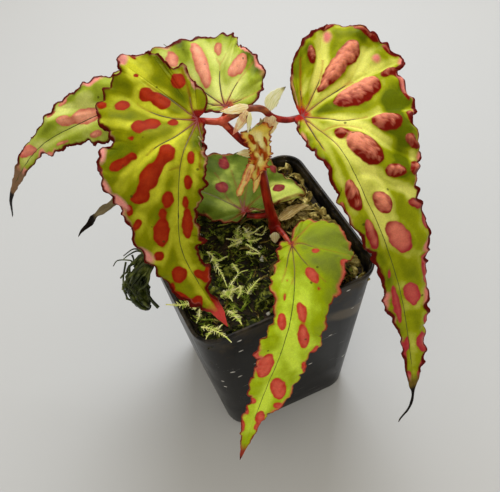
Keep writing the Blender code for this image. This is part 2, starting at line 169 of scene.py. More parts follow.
class Line:
    """A smooth line through points, read by the distance along it."""

    def __init__(self, points: Sequence[Sequence[float]], spans: int = 24, start: int = 0) -> None:
        """Draws the line.

        Args:
            points: the places that it passes.
            spans: how many steps each stretch between two of them has.
            start: the number of the place where distances are zero.
        """
        knots = np.array(points, float)
        knots = np.vstack([2 * knots[0] - knots[1], knots, 2 * knots[-1] - knots[-2]])
        t = (np.arange(spans) / spans)[:, None]
        runs = [0.5 * (2 * b + (c - a) * t + (2 * a - 5 * b + 4 * c - d) * t ** 2
                       + (3 * b - a - 3 * c + d) * t ** 3)
                for a, b, c, d in zip(knots, knots[1:], knots[2:], knots[3:])]
        self.line = np.vstack([*runs, knots[-2:-1]])
        steps = np.linalg.norm(np.diff(self.line, axis=0), axis=1)
        marks = np.concatenate([[0.0], np.cumsum(steps)])
        self.marks = marks - marks[start * spans]
        self.length = float(self.marks[-1])

    def at(self, distance: Array, line: Array | None = None) -> Array:
        """Reads the line.

        Args:
            distance: distances along it.
            line: other values to read in place of its points, one row for each of them.

        Returns:
            The places at those distances.
        """
        values = self.line if line is None else line
        distance = np.asarray(distance, float)
        index = np.clip(np.searchsorted(self.marks, distance) - 1, 0, len(self.marks) - 2)
        low, high = self.marks[index], self.marks[index + 1]
        share = ((distance - low) / np.maximum(high - low, 1e-9))[..., None]
        return values[index] * (1 - share) + values[index + 1] * share

    def ahead(self, distance: Array, reach: float = 1.5) -> Array:
        """Directions of the line at distances along it."""
        step = self.at(distance + reach) - self.at(distance - reach)
        return step / np.linalg.norm(step, axis=-1, keepdims=True)


def flat_line(points: Sequence[Flat], spans: int = 24) -> Line:
    """A smooth line through points of the flat blade."""
    return Line([(*point, 0.0) for point in points], spans)


def smooth_sizes(sizes: Sequence[float], spans: int = 24) -> Array:
    """Sizes that run smoothly from one to the next, each the first of a row of three for Line.at."""
    return Line([(size, 0, 0) for size in sizes], spans).line


def run_distance(points: Array, run: Array) -> tuple[Array, Array]:
    """Distances from flat points to a run of straight pieces.

    Args:
        points: flat points, one a row.
        run: the run's own points, one a row.

    Returns:
        The distance of each point, and how far along the run its nearest place is.
    """
    best = np.full(len(points), 1e9)
    where = np.zeros(len(points))
    done = 0.0
    for a, b in zip(run, run[1:]):
        way = b - a
        length = max(float(np.hypot(*way)), 1e-9)
        share = np.clip(((points - a) @ way) / length ** 2, 0, 1)
        gap = np.hypot(*(points - a - share[:, None] * way).T)
        nearer = gap < best
        best = np.where(nearer, gap, best)
        where = np.where(nearer, done + share * length, where)
        done += length
    return best, where


def rolling(places: Array, seed: float, size: float) -> Array:
    """Smooth noise from about -1 to 1 along a line, with lumps of a size in millimetres."""
    return np.array([noise.noise(Vector((place / size, seed, 0.5))) * 1.6 for place in places])


def noise_at(flat: Array, layer: float, size: float) -> Array:
    """Smooth noise from about -1 to 1 at flat points, with lumps of a size in millimetres."""
    return np.array([noise.noise(Vector((u, v, layer)) / size) for u, v in flat])


def fade(value: Array, start: float, end: float) -> Array:
    """A smooth step that is 0 at start and 1 at end."""
    share = np.clip((value - start) / (end - start), 0, 1)
    return share * share * (3 - 2 * share)


def select_only(*things: Piece) -> None:
    """Selects these objects and makes the first one active."""
    bpy.ops.object.select_all(action="DESELECT")
    for thing in things:
        thing.select_set(True)
    bpy.context.view_layer.objects.active = things[0]


def apply_modifier(thing: Piece, kind: str, **settings: object) -> None:
    """Adds a modifier to an object and applies it.

    Args:
        thing: the object.
        kind: the modifier's type.
        settings: its properties.
    """
    modifier = thing.modifiers.new(kind.lower(), kind)
    for key, value in settings.items():
        setattr(modifier, key, value)
    select_only(thing)
    bpy.ops.object.modifier_apply(modifier=modifier.name)


def settle(thing: Piece, name: str, slot: str, *nodes: str) -> Piece:
    """Names a finished piece, lets it ride on the body and hides the CAD nodes that it stands for.

    Args:
        thing: the piece.
        name: its name.
        slot: the record's material slot; not used.
        nodes: the CAD nodes that it replaces.

    Returns:
        The piece.
    """
    thing.name = name
    thing.data.name = name
    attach(thing, BODY)
    if nodes:
        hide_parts(*nodes)
    LOG.info("%s: %d faces", name, len(thing.data.polygons))
    return thing


def start_edit(thing: Piece) -> None:
    """Opens an object in edit mode with everything selected."""
    select_only(thing)
    bpy.ops.object.mode_set(mode="EDIT")
    bpy.ops.mesh.select_all(action="SELECT")


def stop_edit() -> None:
    """Leaves edit mode."""
    bpy.ops.object.mode_set(mode="OBJECT")


def pick(thing: Piece, part: Part, test: Callable[[object], bool]) -> None:
    """Selects parts of an object in edit mode.

    Args:
        thing: the object.
        part: whether points, edges or faces are picked.
        test: says of one of them whether it is picked.
    """
    bpy.ops.mesh.select_mode(type=part.value)
    bpy.ops.mesh.select_all(action="DESELECT")
    mesh = bmesh.from_edit_mesh(thing.data)
    for item in {Part.POINT: mesh.verts, Part.EDGE: mesh.edges, Part.FACE: mesh.faces}[part]:
        if test(item):
            item.select_set(True)
    bmesh.update_edit_mesh(thing.data)


def merge_close(thing: Piece, distance: float = 0.02) -> None:
    """Merges an object's points that lie closer than a distance in millimetres."""
    start_edit(thing)
    bpy.ops.mesh.remove_doubles(threshold=distance * MM)
    stop_edit()


def face_outwards(thing: Piece) -> None:
    """Turns a closed object's faces outwards."""
    start_edit(thing)
    bpy.ops.mesh.normals_make_consistent(inside=False)
    stop_edit()


def read_points(mesh: bpy.types.Mesh) -> Array:
    """The places of a mesh's points in millimetres, one a row."""
    flat = np.zeros(len(mesh.vertices) * 3)
    mesh.vertices.foreach_get("co", flat)
    return flat.reshape(-1, 3) / MM


def write_points(mesh: bpy.types.Mesh, points: Array) -> None:
    """Moves a mesh's points to places in millimetres."""
    mesh.vertices.foreach_set("co", (points * MM).ravel())
    mesh.update()


def dress(thing: Piece, *finishes: Finish) -> None:
    """Gives an object its finishes in place of the ones that it has."""
    thing.data.materials.clear()
    for finish in finishes:
        thing.data.materials.append(finish.material())


def copies(pattern: Piece, places: Sequence[Matrix]) -> Piece:
    """Copies a small pattern, each copy with its own mesh.

    Args:
        pattern: the object to copy, which is removed.
        places: where each copy stands, with its turn and size.

    Returns:
        All copies as one object.
    """
    made = []
    for place in places:
        mesh = pattern.data.copy()
        mesh.transform(place)
        made.append(new_object(pattern.name, mesh))
    bpy.data.objects.remove(pattern)
    return join(made)


def bent_copies(pattern: Piece, lines: Sequence[Array], girths: Sequence[float],
                leans: Sequence[float], length: float = 10.0) -> Piece:
    """Copies a pattern that lies along +X and bends each copy along a line of its own.

    Args:
        pattern: the object to copy.
        lines: for each copy the points that it runs through.
        girths: for each copy how many times as thick as the pattern it is.
        leans: for each copy the turn of its upper side about the line, in radians.
        length: the pattern's own length in millimetres.

    Returns:
        All copies as one object.
    """
    drawn = read_points(pattern.data)
    made = []
    for points, girth, lean in zip(lines, girths, leans):
        line = Line(points, spans=8)
        distance = drawn[:, 0] / length * line.length
        ahead = line.ahead(distance, 0.4)
        side = np.cross((0.0, 0.0, 1.0), ahead)
        side = side / np.maximum(np.linalg.norm(side, axis=1, keepdims=True), 1e-6)
        up = np.cross(ahead, side)
        across = drawn[:, 1:2] * math.cos(lean) - drawn[:, 2:3] * math.sin(lean)
        raised = drawn[:, 1:2] * math.sin(lean) + drawn[:, 2:3] * math.cos(lean)
        mesh = pattern.data.copy()
        write_points(mesh, line.at(distance) + girth * (across * side + raised * up))
        made.append(new_object(pattern.name, mesh))
    bpy.data.objects.remove(pattern)
    return join(made)


def join(things: list[Piece]) -> Piece:
    """Joins objects into the first of them."""
    select_only(*things)
    if len(things) > 1:
        bpy.ops.object.join()
    return things[0]


def tubes(name: str, strands: list[Strand], resolution: int = 1) -> Piece:
    """Makes round strands along lines, as one mesh.

    Args:
        name: the object's name.
        strands: for each strand its points and its radius at each of them, in millimetres.
        resolution: roundness; 0 gives four sides and each step two more.

    Returns:
        The mesh object.
    """
    curve = bpy.data.curves.new(name, "CURVE")
    curve.dimensions = "3D"
    curve.bevel_depth = MM
    curve.bevel_resolution = resolution
    curve.use_fill_caps = True
    for points, radii in strands:
        spline = curve.splines.new("POLY")
        spline.points.add(len(points) - 1)
        spline.points.foreach_set("co", np.column_stack([points * MM, np.ones(len(points))]).ravel())
        spline.points.foreach_set("radius", np.asarray(radii, float))
    select_only(new_object(name, curve))
    bpy.ops.object.convert(target="MESH")
    made = bpy.context.view_layer.objects.active
    made.data.shade_smooth()
    return made


def set_attribute(mesh: bpy.types.Mesh, name: str, values: Array) -> None:
    """Stores one number or one vector a point on a mesh."""
    kind = "FLOAT_VECTOR" if values.ndim == 2 else "FLOAT"
    layer = mesh.attributes.get(name) or mesh.attributes.new(name, kind, "POINT")
    layer.data.foreach_set("vector" if values.ndim == 2 else "value", values.astype(np.float32).ravel())


# How far light wanders inside a leaf for red, green and blue, and how strongly its skin bends it.
LEAF_FLESH = {"Subsurface Radius": (1.0, 0.9, 0.25), "Subsurface Scale": 0.8 * MM, "IOR": 1.42}
# Past the end of every leaf, for an end tone that a leaf does not have.
FAR_OFF = 1000.0


@dataclass(frozen=True)
class LeafSkin:
    """Upper side of a living begonia leaf: a thin waxy skin over green cells, with red sap in spots and rim.

    It gives the eye a soft satin gloss, light that comes through the blade and crisp blotches. The blotches
    turn rosy, the skin turns to the tip's colour and the tip is burnt from these distances along the midrib.
    """

    name: str
    deep: str
    middle: str
    pale: str
    blotch: str
    blotch_pale: str
    rim: str
    tooth: str
    star: str
    tip: str
    tip_from: float
    burnt: str = "#15100C"
    burnt_from: float = FAR_OFF
    rosy: str = "#C23C46"
    rosy_from: float = FAR_OFF
    speck: str = "#43400A"
    through: float = 0.35
    gloss: float = 0.45
    shine: float = 0.06

    def material(self) -> bpy.types.Material:
        """Builds the skin's node material."""
        made, node, shader = new_material(self.name)
        flat = node("Attribute", {}, "Vector", attribute_name="flat")
        read = {key: node("Attribute", {}, "Fac", attribute_name=key)
                for key in ("light", "blotch", "crown", "rim", "tooth", "star", "along")}
        # Patches of about 3 mm, and cells of about half a millimetre, which is coarser than real cells.
        patches = node("TexNoise", {"Vector": flat, "Scale": 0.33, "Detail": 3.0})
        cells = node("TexVoronoi", {"Vector": flat, "Scale": 1.9}, "Distance")
        # The green's ramp reads the light attribute, which holds the leaf's own tone together with painted
        # light and shade from the washes and the vein bands.
        light = node("Math", {0: patches, 1: 0.26, 2: read["light"]}, operation="MULTIPLY_ADD")
        greens = [(0.1, self.deep), (0.5, self.middle), (0.95, self.pale)]
        colour = node("ValToRGB", {0: light}, stops=greens)
        # The blotches' red grows paler with the crown attribute, which holds their own paleness together
        # with a painted highlight on their crowns and painted light on their side towards the stalk.
        reds = [(0.15, self.blotch), (0.9, self.blotch_pale)]
        red = node("ValToRGB", {0: read["crown"]}, stops=reds)
        far = node("MapRange", {0: read["along"], 1: self.rosy_from - 8.0, 2: self.rosy_from + 25.0, 4: 0.7})
        red = node("Mix", {0: far, 6: red, 7: self.rosy}, 2, data_type="RGBA")
        # The patches also let every red edge wander by almost half a millimetre.
        wobble = node("MapRange", {0: patches, 3: -0.45, 4: 0.45})
        layers = []
        for key, tone, soft in (("blotch", red, 0.22), ("tooth", self.tooth, 0.7), ("rim", self.rim, 0.3),
                                ("star", self.star, 0.8)):
            inside = node("Math", {0: read[key], 1: wobble}, operation="ADD")
            layers.append((node("MapRange", {0: inside, 1: -soft, 2: soft}), tone))
        # Sparse dark specks of half a millimetre, as old skin has.
        specks = node("TexVoronoi", {"Vector": flat, "Scale": 0.13}, "Distance")
        layers.append((node("MapRange", {0: specks, 1: 0.085, 2: 0.05, 4: 0.75}), self.speck))
        for start, soft, tone in ((self.tip_from, 2.0, self.tip), (self.burnt_from, 1.0, self.burnt)):
            end = node("MapRange", {0: read["along"], 1: start - soft, 2: start + soft})
            layers.append((end, tone))
        for mask, tone in layers:
            colour = node("Mix", {0: mask, 6: colour, 7: tone}, 2, data_type="RGBA")
        grain = node("MapRange", {0: cells, 1: 0.0, 2: 0.9, 3: 0.9, 4: 1.08})
        colour = node("Mix", {0: 1.0, 6: colour, 7: grain}, 2, data_type="RGBA", blend_type="MULTIPLY")
        bump = node("Bump", {"Height": cells, "Strength": 0.25, "Distance": 0.1 * MM})
        gloss = node("MapRange", {0: patches, 3: self.gloss - 0.08, 4: self.gloss + 0.1})
        feed(shader, {"Base Color": colour, "Normal": bump, "Roughness": gloss,
                      "Subsurface Weight": self.through, "Specular IOR Level": self.shine, **LEAF_FLESH})
        return made


@dataclass(frozen=True)
class LeafBack:
    """Under side of a begonia leaf: duller and paler green, with the red sap of spots and ribs showing."""

    name: str = "leaf_under_side"
    green: str = "#8FA24A"
    pale: str = "#B4BE6E"
    red: str = "#9A3A2C"
    rim: str = "#6E1A14"

    def material(self) -> bpy.types.Material:
        """Builds the under side's node material."""
        made, node, shader = new_material(self.name)
        flat = node("Attribute", {}, "Vector", attribute_name="flat")
        read = {key: node("Attribute", {}, "Fac", attribute_name=key)
                for key in ("blotch", "rim", "star", "light")}
        # Lumps of about 2.5 mm between the small veins.
        patches = node("TexNoise", {"Vector": flat, "Scale": 0.4, "Detail": 4.0})
        light = node("Math", {0: patches, 1: 0.6, 2: read["light"]}, operation="MULTIPLY_ADD")
        greens = [(0.3, self.green), (1.1, self.pale)]
        colour = node("ValToRGB", {0: light}, stops=greens)
        for key, tone, soft in (("blotch", self.red, 0.8), ("star", self.red, 1.0), ("rim", self.rim, 0.4)):
            mask = node("MapRange", {0: read[key], 1: -soft, 2: soft})
            colour = node("Mix", {0: mask, 6: colour, 7: tone}, 2, data_type="RGBA")
        bump = node("Bump", {"Height": patches, "Strength": 0.3, "Distance": 0.2 * MM})
        feed(shader, {"Base Color": colour, "Normal": bump, "Roughness": 0.55, "Subsurface Weight": 0.3,
                      **LEAF_FLESH})
        return made


@dataclass(frozen=True)
class Mottled:
    """A surface whose colour wanders between two or three tones, for stems, litter, peat and moss.

    The fields say how coarse the wandering is in millimetres, how far it is drawn out along each axis, and
    how rough, bumpy and see-through the real surface is.
    """

    name: str
    tones: tuple[str, ...]
    grain: float
    stretch: Point = (1.0, 1.0, 1.0)
    roughness: float = 0.5
    bump: float = 0.1
    through: float = 0.0
    shine: float = 0.5

    def material(self) -> bpy.types.Material:
        """Builds the surface's node material."""
        made, node, shader = new_material(self.name)
        place = node("TexCoord", {}, "Object")
        scale = [1 / MM / size for size in self.stretch]
        drawn = node("Mapping", {"Vector": place, "Scale": scale})
        lumps = node("TexNoise", {"Vector": drawn, "Scale": 1 / self.grain, "Detail": 5.0, "Roughness": 0.6})
        step = 0.36 / (len(self.tones) - 1)
        stops = [(0.32 + step * number, tone) for number, tone in enumerate(self.tones)]
        colour = node("ValToRGB", {0: lumps}, stops=stops)
        bump = node("Bump", {"Height": lumps, "Strength": 0.8, "Distance": self.bump * MM})
        rough = node("MapRange", {0: lumps, 3: self.roughness - 0.08, 4: self.roughness + 0.08})
        feed(shader, {"Base Color": colour, "Normal": bump, "Roughness": rough, "IOR": 1.45,
                      "Specular IOR Level": self.shine, "Subsurface Weight": self.through,
                      "Subsurface Radius": (1.0, 0.8, 0.4), "Subsurface Scale": 0.6 * MM})
        return made


@dataclass(frozen=True)
class PotPlastic:
    """Black polypropylene of a nursery pot: satin, with a film of dried soil, pale chips and fine scuffs."""

    name: str = "black_pot_polypropylene"
    black: str = "#060607"
    worn: str = "#131315"
    soil: str = "#5F5442"
    chip: str = "#E4E2DA"
    top: float = 86.0
    smear: Point = (26.0, -36.0, 64.0)
    smear_size: Point = (16.0, 9.0, 4.5)

    def material(self) -> bpy.types.Material:
        """Builds the plastic's node material."""
        made, node, shader = new_material(self.name)
        place = node("TexCoord", {}, "Object")
        place = node("Mapping", {"Vector": place, "Scale": (1 / MM, 1 / MM, 1 / MM)})
        height = node("SeparateXYZ", {0: place}, 2)
        wear = node("TexNoise", {"Vector": place, "Scale": 0.08, "Detail": 6.0})
        blacks = [(0.35, self.black), (0.75, self.worn)]
        colour = node("ValToRGB", {0: wear}, stops=blacks)
        # The soil's film is thickest just under the lip and as a thin line at the foot.
        film = node("TexNoise", {"Vector": place, "Scale": 0.14, "Detail": 8.0, "Roughness": 0.7})
        high = node("MapRange", {0: height, 1: self.top - 26, 2: self.top - 4, 4: 0.16})
        film = node("Math", {0: film, 1: high}, operation="ADD")
        film = node("MapRange", {0: film, 1: 0.6, 2: 0.82, 4: 0.55})
        foot = node("MapRange", {0: height, 1: 1.6, 2: 0.6, 4: 0.8})
        film = node("Math", {0: film, 1: foot}, operation="MAXIMUM")
        # One broad rubbed smear of soil runs across the front wall.
        rubbed = node("Mapping", {"Vector": place, "Location": self.smear, "Rotation": (0.0, 0.28, 0.0),
                                  "Scale": self.smear_size}, vector_type="TEXTURE")
        away = node("VectorMath", {0: rubbed}, "Value", operation="LENGTH")
        away = node("Math", {0: wear, 1: -1.1, 2: away}, operation="MULTIPLY_ADD")
        rubbed = node("MapRange", {0: away, 1: 0.45, 2: 0.0, 4: 0.75})
        # Chips of about half a millimetre stand in loose groups, and scuffs run slanting and 10 mm long.
        slanted = node("Mapping", {"Vector": place, "Rotation": (0.0, 0.6, 0.0), "Scale": (0.45, 0.8, 1.2)})
        chips = node("TexVoronoi", {"Vector": slanted, "Scale": 0.17}, "Distance")
        chips = node("MapRange", {0: chips, 1: 0.1, 2: 0.07})
        where = node("TexNoise", {"Vector": place, "Scale": 0.05, "Detail": 2.0})
        where = node("MapRange", {0: where, 1: 0.46, 2: 0.52})
        chips = node("Math", {0: chips, 1: where}, operation="MULTIPLY")
        drawn = node("Mapping", {"Vector": place, "Rotation": (0.0, 0.9, 0.3), "Scale": (0.06, 1.2, 1.6)})
        scuffs = node("TexNoise", {"Vector": drawn, "Scale": 1.0, "Detail": 2.0})
        scuffs = node("MapRange", {0: scuffs, 1: 0.71, 2: 0.76, 4: 0.35})
        marks = node("Math", {0: chips, 1: scuffs}, operation="MAXIMUM")
        for mask, tone in ((film, self.soil), (rubbed, self.soil), (marks, self.chip)):
            colour = node("Mix", {0: mask, 6: colour, 7: tone}, 2, data_type="RGBA")
        satin = node("MapRange", {0: wear, 1: 0.3, 2: 0.7, 3: 0.26, 4: 0.4})
        satin = node("Math", {0: film, 1: 0.5, 2: satin}, operation="MULTIPLY_ADD")
        fine = node("TexNoise", {"Vector": place, "Scale": 1.5, "Detail": 3.0})
        bump = node("Bump", {"Height": fine, "Strength": 0.3, "Distance": 0.05 * MM})
        # Polypropylene's index of refraction is about 1.49.
        feed(shader, {"Base Color": colour, "Normal": bump, "Roughness": satin, "IOR": 1.49,
                      "Specular IOR Level": 0.2})
        return made


@dataclass(frozen=True)
class Papery:
    """A dry papery scale or dead leaf: thin, matt, lit through and streaked along, with a stained end."""

    name: str
    pale: str
    middle: str
    dark: str
    tip: str
    tip_from: float = FAR_OFF
    stain: str = "#C98A76"
    stained: float = 0.0
    through: float = 0.6
    roughness: float = 0.6

    def material(self) -> bpy.types.Material:
        """Builds the papery surface's node material."""
        made, node, shader = new_material(self.name)
        flat = node("Attribute", {}, "Vector", attribute_name="flat")
        along = node("Attribute", {}, "Fac", attribute_name="along")
        # Streaks half a millimetre apart and 4 mm long.
        drawn = node("Mapping", {"Vector": flat, "Scale": (0.25, 2.2, 1.0)})
        streaks = node("TexNoise", {"Vector": drawn, "Scale": 1.0, "Detail": 5.0})
        stops = [(0.3, self.dark), (0.48, self.middle), (0.66, self.pale)]
        colour = node("ValToRGB", {0: streaks}, stops=stops)
        patches = node("TexNoise", {"Vector": flat, "Scale": 0.45, "Detail": 2.0})
        stain = node("MapRange", {0: patches, 1: 0.5, 2: 0.6, 4: self.stained})
        end = node("MapRange", {0: along, 1: self.tip_from - 1.0, 2: self.tip_from + 1.0})
        for mask, tone in ((stain, self.stain), (end, self.tip)):
            colour = node("Mix", {0: mask, 6: colour, 7: tone}, 2, data_type="RGBA")
        bump = node("Bump", {"Height": streaks, "Strength": 0.6, "Distance": 0.15 * MM})
        feed(shader, {"Base Color": colour, "Normal": bump, "Roughness": self.roughness,
                      "Specular IOR Level": 0.2, "Subsurface Weight": self.through,
                      "Subsurface Radius": (1.0, 0.85, 0.6), "Subsurface Scale": 1.2 * MM})
        return made


@dataclass(frozen=True)
class Rib:
    """Skin of a leaf's veins: red sap close to the stalk, which gives way to olive further out."""

    name: str
    centre: Point
    reach: float
    olive: str
    red: str = "#7A1A12"

    def material(self) -> bpy.types.Material:
        """Builds the veins' node material."""
        made, node, shader = new_material(self.name)
        place = node("TexCoord", {}, "Object")
        centre = [value * MM for value in self.centre]
        away = node("VectorMath", {0: place, 1: centre}, "Value", operation="DISTANCE")
        share = node("MapRange", {0: away, 1: 0.25 * self.reach * MM, 2: self.reach * MM})
        colour = node("Mix", {0: share, 6: self.red, 7: self.olive}, 2, data_type="RGBA")
        feed(shader, {"Base Color": colour, "Roughness": 0.45, "Specular IOR Level": 0.3})
        return made


@dataclass
class Relief:
    """How far a blade's surface stands up and sinks in, in millimetres."""

    pleat: float = 0.8
    groove: float = 0.25
    blister: float = 0.3
    pucker: float = 0.12
    frill: float = 0.6


@dataclass
class Leaf:
    """One leaf blade, drawn flat and then bent along its midrib, with all sizes in millimetres.

    Its shape: spine holds midrib points from one behind the stalk's end, and facing the way its upper side
    looks at each of them. left and right are its margins seen from above with the tip ahead, as distances
    along and across the midrib. curl is each half's droop in radians a millimetre. Each half has a mesh of
    rows and columns, and fans more columns that spread round the stalk. The margin has a slow wave, teeth,
    and a ripple of finer teeth between them. veins are flat lines; ribbed is how much of them shows on top.

    Its colour: level is how light the green is, and bands how much lighter it is between the veins, partly
    the leaf's own paler tissue and partly painted light that stands for the pleats' relief. spots are
    blotches, washes are lighter or darker patches of the green, partly its own tone and partly painted light
    and shade, flushes are those of the red, partly painted light on the blotches' upper sides, and pinks are
    pale pink patches, each given by its middle, half length, half width and turn in degrees. redness is how
    pale the blotches are, and shaded how much paler their side towards the stalk is painted, as painted
    light. Their crowns are painted paler too, as a painted highlight. They stand up and are coarse only as
    far along as raised_to. rim is the red rim's width and how far that wanders, patches the width of the
    pink patches along the margin, teeth how much of them each half has, star the radius of the red star at
    the stalk, and rib the colour of the veins away from it.
    """

    name: str
    spine: list[Point]
    facing: list[Point]
    left: list[Flat]
    right: list[Flat]
    curl: tuple[float, float]
    fans: tuple[int, int]
    rows: tuple[int, int]
    skin: Finish
    back: Finish = LeafBack()
    columns: int = 150
    veins: list[list[Flat]] = field(default_factory=list)
    spots: list[Spot] = field(default_factory=list)
    tone_and_light_washes: list[tuple[Spot, float]] = field(default_factory=list)
    flushes: list[tuple[Spot, float]] = field(default_factory=list)
    pinks: list[Spot] = field(default_factory=list)
    relief: Relief = field(default_factory=Relief)
    thickness: float = 0.5
    tooth: float = 0.7
    tooth_length: float = 6.5
    ripple: float = 0.3
    wave: float = 1.2
    wave_length: float = 24.0
    rim: tuple[float, float] = (0.75, 0.4)
    patches: float = 2.4
    teeth: tuple[float, float] = (1.0, 1.0)
    redness: float = 0.2
    shaded: float = 0.0
    raised_to: float = FAR_OFF
    star: float = 3.2
    rib: str = "#4A4E0C"
    ribbed: float = 1.0
    level: float = 0.27
    bands: float = 0.4
    seed: float = 1.0
    slot: str = "leaf_blade"
    laid: list[tuple[Array, Array]] = field(default_factory=list, repr=False)

    def __post_init__(self) -> None:
        """Makes the midrib and the lines that its blade follows."""
        self.midrib = Line(self.spine, start=1)
        self.normals = Line(self.facing).line
        self.ribs = [flat_line(vein, spans=8).line[:, :2] for vein in self.veins]
        self.middle = np.array([(0.0, 0.0), (self.midrib.length, 0.0)])

    def bend(self, along: Array, across: Array, lift: Array) -> Array:
        """Places flat points in space.

        Args:
            along: distances along the midrib.
            across: distances to its left.
            lift: heights over the blade's middle surface.

        Returns:
            The points in the frame, in millimetres.
        """
        ahead = self.midrib.ahead(along)
        inside = np.clip(along, self.midrib.marks[0], self.midrib.length)
        up = self.midrib.at(inside, self.normals)
        up = up - np.sum(up * ahead, axis=1, keepdims=True) * ahead
        up = up / np.linalg.norm(up, axis=1, keepdims=True)
        side = np.cross(up, ahead)
        turn = np.where(across > 0, self.curl[0], self.curl[1])
        angle = turn * across
        drop = ((1 - np.cos(angle)) / turn)[:, None]
        surface = self.midrib.at(along) + side * (np.sin(angle) / turn)[:, None] - up * drop
        return surface + lift[:, None] * (up * np.cos(angle)[:, None] + side * np.sin(angle)[:, None])

    def margin(self, half: int, share: Array) -> tuple[Array, Array]:
        """Draws one half's toothed edge.

        Args:
            half: 0 for the left half and 1 for the right one.
            share: places along the edge, from 0 at the stalk to 1 at the tip.

        Returns:
            The edge's flat points, and how far along it each is.
        """
        outline = (self.left, self.right)[half]
        line = flat_line([*outline, (self.midrib.length, 0.0)])
        distance = line.length * share
        point = line.at(distance)[:, :2]
        ahead = line.ahead(distance)
        sign = 1 if half == 0 else -1
        outward = sign * np.column_stack([-ahead[:, 1], ahead[:, 0]])
        width = np.clip(np.abs(point[:, 1]) / 6.0, 0, 1) * fade(share, 0, 0.01) * fade(1 - share, 0, 0.01)
        phase = distance / self.tooth_length + 0.35 * rolling(distance, self.seed + half, 9.0)
        turn = 2 * math.pi * phase
        size = self.tooth * (1 + 0.5 * rolling(distance, self.seed + 4 + half, 7.0))
        fine = distance / 2.7 + 0.5 * rolling(distance, self.seed + 8 + half, 3.0)
        push = size * np.sin(turn + 0.6 * np.sin(turn))
        push = push + self.ripple * (1.6 * np.abs(np.sin(math.pi * fine)) - 1.0)
        # Where the margin runs straight away from the midrib, teeth would fold the blade over itself.
        away = point - np.column_stack([np.clip(point[:, 0], 0, self.midrib.length), np.zeros(len(point))])
        away = away / np.maximum(np.linalg.norm(away, axis=1, keepdims=True), 0.1)
        push = push * fade(np.sum(away * outward, axis=1), 0.1, 0.7)
        return point + outward * (width * push)[:, None], distance

    def wave_at(self, distance: Array, width: Array) -> Array:
        """Height of the margin's slow wave at distances along it."""
        return self.wave * np.clip(width / 6.0, 0, 1) * np.sin(2 * math.pi * distance / self.wave_length)

    def half(self, half: int) -> Piece:
        """Models one half of the blade as a bent grid with its relief and its colour fields.

        Args:
            half: 0 for the left half and 1 for the right one.

        Returns:
            The half, as a sheet without thickness.
        """
        columns = self.fans[half] + self.columns
        thing = start_from(bpy.ops.mesh.primitive_grid_add, x_subdivisions=columns,
                           y_subdivisions=self.rows[half], size=1)
        grid = np.zeros(len(thing.data.vertices) * 3)
        thing.data.vertices.foreach_get("co", grid)
        share, out = grid[::3] + 0.5, grid[1::3] + 0.5
        # Rows stand closer together towards the margin, where the teeth are.
        out = 1 - (1 - out) ** 1.15
        root = self.midrib.length * np.maximum(0.0, share * columns - self.fans[half]) / self.columns
        edge, distance = self.margin(half, share)
        along = root + (edge[:, 0] - root) * out
        across = edge[:, 1] * out
        flat = np.column_stack([along, across])
        fields = self.fields(half, flat, out, distance, np.abs(edge[:, 1]))
        lift = fields.pop("lift")
        self.laid.append((flat, lift))
        write_points(thing.data, self.bend(along, across, lift))
        for key, values in fields.items():
            set_attribute(thing.data, key, values)
        return thing

    def fields(self, half: int, flat: Array, out: Array, distance: Array,
               width: Array) -> dict[str, Array]:
        """Works out the relief and the colour fields of flat points.

        Args:
            half: 0 for the left half and 1 for the right one.
            flat: the points' places along and across the midrib.
            out: each point's share of the way from the midrib to the margin.
            distance: how far along the margin each point's column ends.
            width: how far from the midrib that end is.

        Returns:
            The fields by name; those that colour reads are signed distances in millimetres, above 0 inside.
        """
        margin, _ = self.margin(half, np.linspace(0, 1, 420))
        edge, _ = run_distance(flat, margin)
        edge = np.where(out > 0.999, 0.0, edge)
        vein = np.stack([run_distance(flat, rib)[0] for rib in [self.middle, *self.ribs]]).min(axis=0)
        stalk = np.hypot(flat[:, 0], flat[:, 1])
        blotch, behind = self.spot_field(flat)
        relief = self.relief
        inner = fade(edge, 0.0, 4.0)
        crown = fade(blotch, -0.5, 2.4)
        raised = fade(self.raised_to - flat[:, 0], -6.0, 6.0) * min(1.0, relief.pucker / 0.2)
        lumps = noise_at(flat, self.seed, 1.7)
        swells = noise_at(flat, self.seed + 7, 7.0)
        wrinkles = noise_at(flat, self.seed + 5, 0.8)
        # The relief: pleats between the veins, grooves along them, puckers, a frilled edge, raised blotches.
        pleat = relief.pleat * (1 - np.exp(-(vein / 3.5) ** 2)) * inner * fade(stalk, 1.0, 12.0)
        groove = -relief.groove * np.exp(-(vein / 0.45) ** 2) * fade(edge, 0.5, 3.0)
        pucker = relief.pucker * (lumps * (0.35 + 1.3 * crown) + 0.9 * wrinkles * crown)
        pucker = pucker * (0.3 + 0.7 * raised) + 0.35 * swells * inner
        frill = relief.frill * np.exp(-edge / 1.8) * np.sin(2 * math.pi * distance / 5.2 + 2 * swells)
        frill = frill * np.clip(width / 6.0, 0, 1)
        lift = self.wave_at(distance, width) * out ** 2 + pleat + groove + pucker + frill
        lift = lift + relief.blister * crown * (0.25 + 0.75 * raised)
        # The green: lighter between the veins and in a thin ring round each blotch. The bands are partly the
        # leaf's own paler tissue and partly painted light that stands for the lit and dark sides of the
        # pleats.
        bands = self.bands * (0.35 + 0.65 * fade(self.raised_to - flat[:, 0], -30.0, 6.0))
        light = self.level + bands * fade(-vein, -3.8, -1.2) * fade(edge, 0.5, 4.0) + 0.2 * swells
        light = light + 0.14 * np.exp(-((blotch + 1.0) / 1.1) ** 2)
        # Washes: lighter and darker patches of the green, partly its own tone and partly painted light and
        # shade.
        for oval, amount in self.tone_and_light_washes:
            light = light + amount * fade(-self.one_spot(flat, *oval), -0.5 * oval[3] - 0.7, 0.5 * oval[3])
